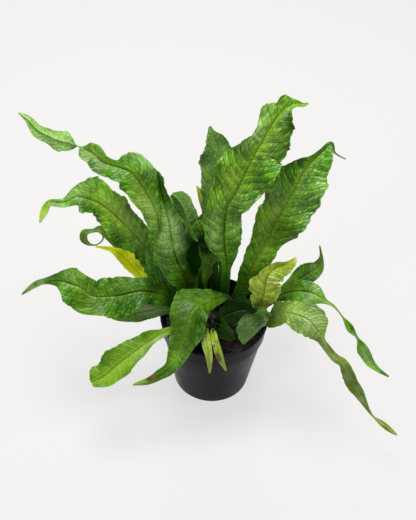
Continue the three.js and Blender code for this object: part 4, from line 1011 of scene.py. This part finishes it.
# The grey-green of pale patches: partly leaf gone pale, partly painted sheen.
PALE_AND_PAINTED_SHEEN = (0.52, 0.64, 0.34, 1)
STALK_BROWN = (0.035, 0.026, 0.010, 1)
WITHERED_DARK = (0.085, 0.022, 0.012, 1)
WITHERED_LIGHT = (0.20, 0.11, 0.030, 1)
YELLOW_PAINTED_GLOW = 0.22              # painted light: a yellow leaf glows with this share of its colour, for light shining through it
# The last green of each tone is painted shade: it is mixed in where a blade is painted darker.
GREENS = ("Dark", "Green", "Light", "Ripe", "Vein", "Midrib", "Under", "Painted_Shade_Green")
LEAF_TONES = {                  # each tone's slot and its greens, in that order
    "mid": ("leaf_green", (0.020, 0.115, 0.002), (0.060, 0.250, 0.002), (0.215, 0.470, 0.022),
            (0.200, 0.370, 0.008), (0.010, 0.055, 0.001), (0.240, 0.400, 0.050), (0.130, 0.290, 0.040),
            (0.004, 0.018, 0.001)),
    "bright": ("leaf_bright", (0.062, 0.200, 0.002), (0.105, 0.290, 0.003), (0.210, 0.420, 0.022),
               (0.300, 0.530, 0.006), (0.050, 0.190, 0.002), (0.400, 0.540, 0.070), (0.200, 0.360, 0.050),
               (0.012, 0.045, 0.001)),
    "pale": ("leaf_pale", (0.085, 0.205, 0.012), (0.155, 0.305, 0.024), (0.310, 0.480, 0.100),
             (0.260, 0.340, 0.045), (0.060, 0.150, 0.012), (0.450, 0.520, 0.200), (0.270, 0.410, 0.120),
             (0.030, 0.070, 0.005)),
    "yellow": ("leaf_yellow", (0.640, 0.720, 0.006), (0.880, 0.900, 0.008), (0.930, 0.940, 0.040),
               (0.900, 0.880, 0.006), (0.260, 0.330, 0.010), (0.600, 0.600, 0.120), (0.500, 0.560, 0.060),
               (0.050, 0.080, 0.003)),
    # painted shade: the mid greens darkened, for the fronds that sit in shade at the back, underneath and
    # inside the rim
    "deep": ("leaf_deep", (0.015, 0.085, 0.002), (0.045, 0.180, 0.004), (0.140, 0.320, 0.030),
             (0.110, 0.230, 0.010), (0.007, 0.036, 0.001), (0.170, 0.270, 0.040), (0.085, 0.210, 0.025),
             (0.003, 0.012, 0.001)),
    "lime": ("leaf_lime", (0.140, 0.250, 0.008), (0.300, 0.440, 0.014), (0.580, 0.680, 0.110),
             (0.460, 0.530, 0.020), (0.080, 0.150, 0.006), (0.540, 0.600, 0.160), (0.340, 0.460, 0.090),
             (0.030, 0.060, 0.003)),
}


def distance_to_line(count):
    """How far a count is from the nearest whole number, from 0 to 0.5."""
    return 0.5 - sum_up("ABSOLUTE", sum_up("FRACT", count) - 0.5)


def chance(place):
    """A random number from 0 to 1 that stays the same all over one mesh, or all along one vein."""
    return chain(place.tree, "ShaderNodeTexWhiteNoise", {"Vector": place}, "Value")


def net_of_veins(along, across):
    """The net of a blade, from the way along and across it, both counted in side vein spacings. Gives how far
    it is to the nearest side vein, second vein and cross vein, and the number of the mesh and of the side
    vein."""
    tree = along.tree
    out = sum_up("ABSOLUTE", across)
    half = sum_up("SIGN", across)
    drift = cloud(vector_of(tree, along * 0.55, across * 0.55, 3.0), 1.0, 2.0) - 0.5
    side = along - VEIN_SLANT * out - 0.10 * out * out + 0.22 * half + 1.2 * drift
    second = 2.0 * side + 1.0
    strip = sum_up("FLOOR", second)
    cross = out / CELL_WIDTH + 0.9 * chance(vector_of(tree, strip, half, 1.0)) + 0.5 * drift
    mesh = vector_of(tree, strip, sum_up("FLOOR", cross), half)
    vein = vector_of(tree, sum_up("ROUND", side), half, 5.0)
    return distance_to_line(side), distance_to_line(second), distance_to_line(cross), mesh, vein


# The blade's tree lays a sheet along the midrib, folds and waves it, raises its quilting and its meshes, and
# closes it below with the rib. Towards the foot it narrows into the round stalk.
blade, at = geometry_tree("frond_blade", {
    "Across": "Int", "Length": "Float", "Phase": "Float", "Vein Spacing": "Float", "Quilt": "Float",
    "Puff": "Float", "Ripple": "Float", "Crumple": "Float", "Jag": "Float", "Thickness": "Float",
    "Material": "Material"})
line = at["Geometry"]
size = step_node(blade, "GeometryNodeAttributeDomainSize", component="MESH")
feed(size.inputs[0], line)
count = Reading(blade, size.outputs["Point Count"])
sheet = chain(blade, "GeometryNodeMeshGrid", {
    "Size X": 1.0, "Size Y": 1.0, "Vertices X": count, "Vertices Y": at["Across"]})
grid_x, grid_y, _ = parts_of(position(blade))
share, reach = grid_x + 0.5, 2.0 * grid_y
station = sum_up("ROUND", share * (count - 1.0))


def carried(name):
    """A direction that each point of a mesh carries."""
    return chain(blade, "GeometryNodeInputNamedAttribute", {"Name": name}, data_type="FLOAT_VECTOR")


def at_station(value):
    """What a point of the midrib says, read at the points of the sheet that are at its station."""
    return chain(blade, "GeometryNodeSampleIndex", {"Geometry": line, "Value": value, "Index": station},
                 data_type="FLOAT_VECTOR")


centre = at_station(position(blade))
face, sideways = at_station(carried("face")), at_station(carried("sideways"))
left, right, stalk = parts_of(at_station(carried("widths")))
fold_left, fold_right, _ = parts_of(at_station(carried("folds")))
to_right = sum_up("GREATER_THAN", reach, 0.0)
half = left + (right - left) * to_right
fold = fold_left + (fold_right - fold_left) * to_right
side = sum_up("SIGN", reach)
out = sum_up("ABSOLUTE", reach)
opened = 1.0 - stalk
run = share * at["Length"]
turn = run * (2 * math.pi / WAVE_LENGTH) + at["Phase"]
scallop = 1.0 + SCALLOP * out * sum_up("SINE", SCALLOP_RATE * turn + SCALLOP_SIDE * side)
wave = WAVE_RISE * out * out * sum_up("SINE", turn + WAVE_SIDE * side)
along_veins = run / at["Vein Spacing"] + at["Phase"]
across_veins = half * reach / at["Vein Spacing"]
to_side, to_second, to_cross, _, _ = net_of_veins(along_veins, across_veins)
near_rib = ramp(half * out, 0.0, 3.0 * MM)
roomy = ramp(half, 2.0 * MM, 12.0 * MM)
bulge = ramp(to_side, 0.0, 0.42) * near_rib * roomy
puff = ramp(to_second, 0.02, 0.35) * ramp(to_cross, 0.02, 0.3) * near_rib * roomy
frill_at = vector_of(blade, run / RIPPLE_LENGTH, 4.0 * side, at["Phase"])
frill = (cloud(frill_at, 1.0, 1.0) - 0.5) * out * out * out * roomy
crumple_at = vector_of(blade, run / CRUMPLE_LENGTH, half * reach / CRUMPLE_WIDTH, at["Phase"] + 7.0)
clear_of_rib = ramp(half * out, 1.0 * MM, 8.0 * MM)
crumple = (cloud(crumple_at, 1.0, 1.0) - 0.5) * clear_of_rib * roomy * 2.0 * at["Crumple"]
jagged_at = vector_of(blade, run / JAG_LENGTH, 4.0 * side, at["Phase"] + 3.0)
crimp = 1.0 + CRIMP * out * out * roomy * (ramp(to_side, 0.0, 0.3) - 0.5)
crimp = crimp + at["Jag"] * out * out * roomy * 2.0 * (cloud(jagged_at, 1.0, 1.0) - 0.5)
cupped = out * (1.0 + CUP - CUP * out * out)
wide = half * reach * scallop * crimp * sum_up("COSINE", fold)
relief = half * wave + crumple + at["Ripple"] * 2.0 * frill
relief = relief + at["Quilt"] * (bulge - 0.5) + at["Puff"] * (puff - 0.5)
lift = half * cupped * sum_up("SINE", fold) + opened * relief
rib = ramp(half * out, MIDRIB_REACH, 0.0) * sum_up("MINIMUM", (left + right) / FULL_RIB_BLADE, 1.0)
groove = ramp(half * out, GROOVE_REACH, 0.0) * opened * roomy * GROOVE_DEPTH
round_stalk = stalk * (0.5 * STALK_THICKNESS) * sum_up("SQRT", 1.0 - STALK_ROUNDNESS * out * out)
above = round_stalk - groove
below = round_stalk + opened * (at["Thickness"] + rib * (MIDRIB_THICKNESS - BLADE_THICKNESS))
middle = vector_sum("ADD", centre, vector_sum("SCALE", sideways, Scale=wide))
lower = vector_sum("ADD", middle, vector_sum("SCALE", face, Scale=lift - below))
sheet = stored(sheet, "blade", vector_of(blade, along_veins, across_veins, reach), "FLOAT_VECTOR")
sheet = stored(sheet, "body", vector_of(blade, share, stalk, half), "FLOAT_VECTOR")
sheet = stored(sheet, "rise", vector_sum("SCALE", face, Scale=above + below), "FLOAT_VECTOR")
under = chain(blade, "GeometryNodeSetPosition", {"Geometry": sheet, "Position": lower})
thick = step_node(blade, "GeometryNodeExtrudeMesh", mode="FACES")
feed(thick.inputs["Mesh"], chain(blade, "GeometryNodeFlipFaces", {"Mesh": under}))
feed(thick.inputs["Offset"], carried("rise"))
thick.inputs["Individual"].default_value = False
upper = Reading(blade, thick.outputs["Top"])
shell = stored(Reading(blade, thick.outputs["Mesh"]), "upper", upper, domain="FACE")
joined = step_node(blade, "GeometryNodeJoinGeometry")
feed(joined.inputs[0], shell)
feed(joined.inputs[0], under)
whole = Reading(blade, joined.outputs[0])
welded = chain(blade, "GeometryNodeMergeByDistance", {"Geometry": whole, "Distance": WELD})
end_tree(blade, welded, at["Material"])

# The look of a blade is one group: its net of veins, puffed meshes of uneven green, a pale midrib, soft
# patches along the leaf, where it has yellowed, browned or gone pale, and patches of painted sheen, painted
# shade and painted light.
SEEN_ON_BLADE = ("Upper", "Yellow", "Brown", "Pale", "Painted_Shade", "Quilt")    # what the mesh says at each point
look, at = new_group("blade_look", "ShaderNodeTree", {
    "Blade": "Vector", "Body": "Vector", "Place": "Vector", **{name: "Float" for name in SEEN_ON_BLADE},
    **{name: "Color" for name in GREENS}},
    {"Colour": "Color", "Roughness": "Float", "Height": "Float", "Gloss": "Float"})
along, across, reach = parts_of(at["Blade"])
share, stalk, half = parts_of(at["Body"])
to_side, to_second, to_cross, mesh, vein = net_of_veins(along, across)
out = sum_up("ABSOLUTE", reach)
roomy = ramp(half, 1.5 * MM, 9.0 * MM)
side_vein = ramp(to_side, 0.055, 0.020)
second_vein = ramp(to_second, 0.11, 0.02)
cross_vein = ramp(to_cross, 0.12, 0.02)
net = sum_up("MAXIMUM", second_vein * 0.75, cross_vein * 0.7)
patchy = cloud(at["Place"], 38.0, 2.0)
ripe = ramp(cloud(at["Place"], 15.0, 2.0), 0.46, 0.62)
blotch = cloud(at["Place"], 130.0, 3.0)
cell, strong = chance(mesh), chance(vein)
glow = ramp(to_second, 0.06, 0.4) * ramp(to_cross, 0.05, 0.35)
relief = roomy * (SMOOTHNESS + (1 - SMOOTHNESS) * at["Quilt"])

# The upper face: uneven greens, then the meshes of the net, the veins between them, the yellowing, the
# midrib, the stalk and the margin.
# how strongly the meshes' centres are lightened, more towards the margin: partly painted highlight
bright = ramp(cloud(at["Place"], 24.0, 2.0), 0.42, 0.58, 0.25, 0.9) + 0.35 * ramp(out, 0.45, 0.85)
sunk = ramp(cloud(at["Place"], 48.0, 2.0), 0.40, 0.60, 0.25, 1.0)
drawn = ramp(strong, 0.1, 0.8, 0.55, 1.0) * (0.6 * roomy + 0.4 * relief) * sunk
distance = sum_up("ABSOLUTE", across) * MM_ACROSS
pale_rib = sum_up("MAXIMUM", ramp(cloud(at["Place"], 14.0, 0.0), 0.46, 0.58), ramp(at["Yellow"], 0.05, 0.25))
stalk_colour = mixed(ramp(share, 0.02, 0.16), STALK_BROWN, at["Dark"])
shade = layered(
    at["Dark"],
    (ramp(patchy, 0.42, 0.60), at["Green"]),
    (ripe * 0.45, at["Ripe"]),
    (ramp(blotch, 0.46, 0.66) * 0.40, at["Light"]),
    (ramp(blotch, 0.54, 0.38) * 0.45, at["Dark"]),
    # lighter panels between side veins and lighter mesh centres: partly the leaf's paler green, partly
    # painted highlight on their bulges
    (ramp(to_side, 0.12, 0.46) * ramp(patchy, 0.42, 0.62) * 0.15 * roomy, at["Light"]),
    (glow * ramp(cell, 0.35, 0.9) * bright * 0.85 * relief, at["Light"]),
    (ramp(cell, 0.40, 0.0) * 0.40 * relief, at["Dark"]),
    (ramp(to_side, 0.24, 0.0) * 0.35 * roomy * sunk, at["Dark"]),
    (net * 0.60 * roomy * ramp(blotch, 0.32, 0.5), at["Vein"]),
    (side_vein * drawn, at["Vein"]),
    (at["Yellow"] * (0.75 + 0.25 * cell), YELLOWED),
    (ramp(distance, 9.0, 1.0) * 0.30 * roomy, at["Ripe"]),
    (ramp(distance, 1.3, 0.6) * 0.30 * roomy, at["Vein"]),
    (ramp(distance, 0.9, 0.45) * 0.80, mixed(pale_rib, at["Vein"], at["Midrib"])),
    (stalk * 0.85, stalk_colour),
    (ramp(out, 0.93, 1.0) * 0.35, at["Light"]))

# The lower face: paler and plainer, with its veins standing out green and a pale rib.
beneath = layered(
    mixed(ramp(blotch, 0.35, 0.7), at["Under"], mixed(0.35, at["Under"], at["Green"])),
    (sum_up("MAXIMUM", side_vein * 0.9, net * 0.6) * roomy, at["Green"]),
    (ramp(patchy, 0.60, 0.40) * 0.4, at["Green"]),
    (ramp(distance, 1.2, 0.5) * 0.8, at["Midrib"]),
    (stalk * 0.85, stalk_colour))

# What the patches do to both faces. A painted shade value below zero is painted light. Near the crown the
# leaves get painted shade.
painted_light = sum_up("MAXIMUM", 0.0 - at["Painted_Shade"], 0.0)
streaks = cloud(vector_of(look, along * 1.1, across * 5.5, 0.0), 1.0, 3.0, 0.6)
# Pale patches, streaked along the blade: partly leaf gone pale, partly painted sheen.
pale_and_painted_sheen = at["Pale"] * ramp(streaks, 0.40, 0.58, 0.30, 1.0) * (1.0 - 0.6 * side_vein) * (1.0 - 0.3 * net)
ragged = at["Brown"] + 0.35 * (cloud(at["Place"], 160.0, 3.0) - 0.5)
spots = ramp(ragged, 0.35, 0.7) * ramp(at["Brown"], 0.02, 0.2)
# Painted shade near the crown, where the crowded stalks stand in shade; painted light lifts it.
crown = vector_sum("DISTANCE", at["Place"], CROWN, out=1)
crown_painted_shade = ramp(crown, CROWN_PAINTED_SHADE[1], CROWN_PAINTED_SHADE[0]) * 0.8 + sum_up("MINIMUM", at["Painted_Shade"], 0.0)
painted_shade = sum_up("MAXIMUM", sum_up("MAXIMUM", crown_painted_shade, at["Painted_Shade"]), 0.0)
shade = layered(
    mixed(at["Upper"], beneath, shade),
    # painted light mixes in the light green, and painted shade, last, mixes in the shade green
    (painted_light * 0.8 * (0.55 + 0.45 * ramp(blotch, 0.35, 0.6)), at["Light"]),
    (pale_and_painted_sheen, mixed(0.45, at["Light"], PALE_AND_PAINTED_SHEEN)),
    (spots, mixed(ramp(blotch, 0.4, 0.6), WITHERED_DARK, WITHERED_LIGHT)),
    (painted_shade, at["Painted_Shade_Green"]))

smooth = 1.0 - at["Quilt"]
rough = 0.28 + 0.09 * smooth + 0.12 * ramp(blotch, 0.3, 0.7)
rough = rough + 0.25 * (1.0 - at["Upper"]) + 0.2 * spots - 0.06 * at["Pale"]
fine = cloud(at["Place"], 900.0, 3.0)
# The bump lifts the veins a little, and so softens the quilting that the geometry gives the blade.
height = relief * (0.5 * side_vein + 0.3 * net - glow + 1.2 * blotch) + 0.12 * fine
# Painted shade also takes the shine away.
gloss = 0.32 + 0.10 * smooth + 0.3 * at["Pale"] * at["Upper"] - 0.4 * painted_shade
give(look, Colour=shade, Roughness=rough, Height=height, Gloss=gloss)

leaves = {}
for tone, (slot, *greens) in LEAF_TONES.items():
    leaf, tree, skin, place = new_material(slot)
    kept = {name: attribute(tree, name.lower(), "Vector") for name in ("Blade", "Body")}
    kept.update({name: attribute(tree, name.lower()) for name in SEEN_ON_BLADE})
    kept.update({name: (*green, 1) for name, green in zip(GREENS, greens)})
    seen = use(tree, look, Place=place, **kept)
    coat(skin, seen["Colour"], seen["Roughness"], bumped(seen["Height"], 0.8, 0.6 * MM))
    feed(skin.inputs["Specular IOR Level"], seen["Gloss"])
    # Painted light: the yellow leaf glows with its own colour.
    if tone == "yellow":
        feed(skin.inputs["Emission Color"], seen["Colour"])
        skin.inputs["Emission Strength"].default_value = YELLOW_PAINTED_GLOW
    leaves[tone] = leaf


def facing(turn, tilt):
    """The direction that looks to a compass turn and a tilt above level."""
    turn, tilt = math.radians(turn), math.radians(tilt)
    return (math.cos(tilt) * math.cos(turn), math.cos(tilt) * math.sin(turn), math.sin(tilt))


def midrib_line(name, fold, route):
    """A frond's midrib as a line of points that carry where the blade looks and how wide it is. The stalk
    leaves the mix straight and steeply before it turns towards the blade."""
    places = [np.array(row[:3]) * MM for row in route]
    rise = (places[1] - places[0]) / np.linalg.norm(places[1] - places[0]) + (0, 0, STALK_STEEPNESS)
    places.insert(1, places[0] + rise / np.linalg.norm(rise) * STALK_COLLAR)
    looks = [facing(*row[5:7]) for row in route]
    widths = [np.array(row[3:5]) * MM for row in route]
    folds = [np.radians(row[7:] or (fold, fold)) for row in route]
    for values in (looks, widths, folds):
        values.insert(1, values[0])
    _, length = even_steps(places, 2)
    count = max(FEWEST_STATIONS, round(length / FINE_STEP))
    steps, length = even_steps(places, count)
    centre = smooth_curve(places, steps)
    behind, ahead = (smooth_curve(places, np.clip(steps + step, 0, 1)) for step in (-1e-4, 1e-4))
    way = ahead - behind
    way /= np.linalg.norm(way, axis=1)[:, None]
    face = smooth_curve(looks, steps)
    face -= way * (face * way).sum(axis=1)[:, None]
    face /= np.linalg.norm(face, axis=1)[:, None]
    wide = np.maximum(LEAST_WIDTH, smooth_curve(widths, steps))
    share = np.clip((np.linspace(0, 1, count) - STALK_END) / (BLADE_START - STALK_END), 0, 1)
    stalk = 1 - share * share * (3 - 2 * share)
    bend = smooth_curve(folds, steps) * (1 - stalk)[:, None]
    mesh = bpy.data.meshes.new(name)
    mesh.from_pydata(centre.tolist(), [(i, i + 1) for i in range(count - 1)], [])
    kept = {"face": face, "sideways": np.cross(way, face),
            "widths": np.column_stack([wide, stalk]), "folds": np.column_stack([bend, stalk])}
    for label, values in kept.items():
        data = mesh.attributes.new(label, "FLOAT_VECTOR", "POINT").data
        data.foreach_set("vector", values.astype(np.float32).ravel())
    return mesh, length


def patched(mesh, patches):
    """Writes how yellow, brown, pale and quilted a blade is at each of its points, and its painted shade.
    Where patches of one kind overlap, the stronger counts. Painted light lowers the painted shade, below zero
    where none is painted."""
    ways = {}
    for name in ("body", "blade"):
        ways[name] = np.empty(len(mesh.vertices) * 3, np.float32)
        mesh.attributes[name].data.foreach_get("vector", ways[name])
    share, reach = ways["body"][0::3], ways["blade"][2::3]
    marks = {kind: np.zeros(len(share), np.float32)
             for kind in ("yellow", "brown", "pale", "painted_shade", "painted_light", "quilt")}
    for kind, places in patches.items():
        for along, across, long, wide, strength in places:
            mark = strength * np.exp(-((share - along) / long) ** 2 - ((reach - across) / wide) ** 2)
            marks[kind] = np.maximum(marks[kind], mark)
    marks["painted_shade"] -= marks.pop("painted_light")
    for kind, mark in marks.items():
        mesh.attributes.new(kind, "FLOAT", "POINT").data.foreach_set("value", mark)


for number, (name, (tone, fold, jagged, patches, route)) in enumerate(FRONDS.items()):
    line_mesh, length = midrib_line(name, fold, route)
    frond = placed(name + "_leaf", line_mesh)
    widest = max(row[3] + row[4] for row in route) * MM
    quilted = max((patch[-1] for patch in patches.get("quilt", ())), default=0)
    relief = SMOOTHNESS + (1 - SMOOTHNESS) * quilted
    grown(frond, blade, {
        "Across": max(FEWEST_ACROSS, min(MOST_ACROSS, round(widest / FINE_WIDTH) // 2 * 2 + 1)),
        "Length": float(length), "Phase": WAVE_SHIFT * number,
        "Vein Spacing": VEIN_SPACING * min(1.0, max(0.5, widest / WIDE_BLADE)),
        "Quilt": QUILT * relief, "Puff": PUFF * relief, "Crumple": CRUMPLE * relief,
        "Ripple": RIPPLE * (1 + JAGGED_RIPPLE * jagged), "Jag": JAG * (1 + JAGGED_JAG * jagged),
        "Thickness": BLADE_THICKNESS, "Material": leaves[tone]})
    finished(frond, sharp=55)
    patched(frond.data, patches)
    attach(frond, "root")
    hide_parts(name)
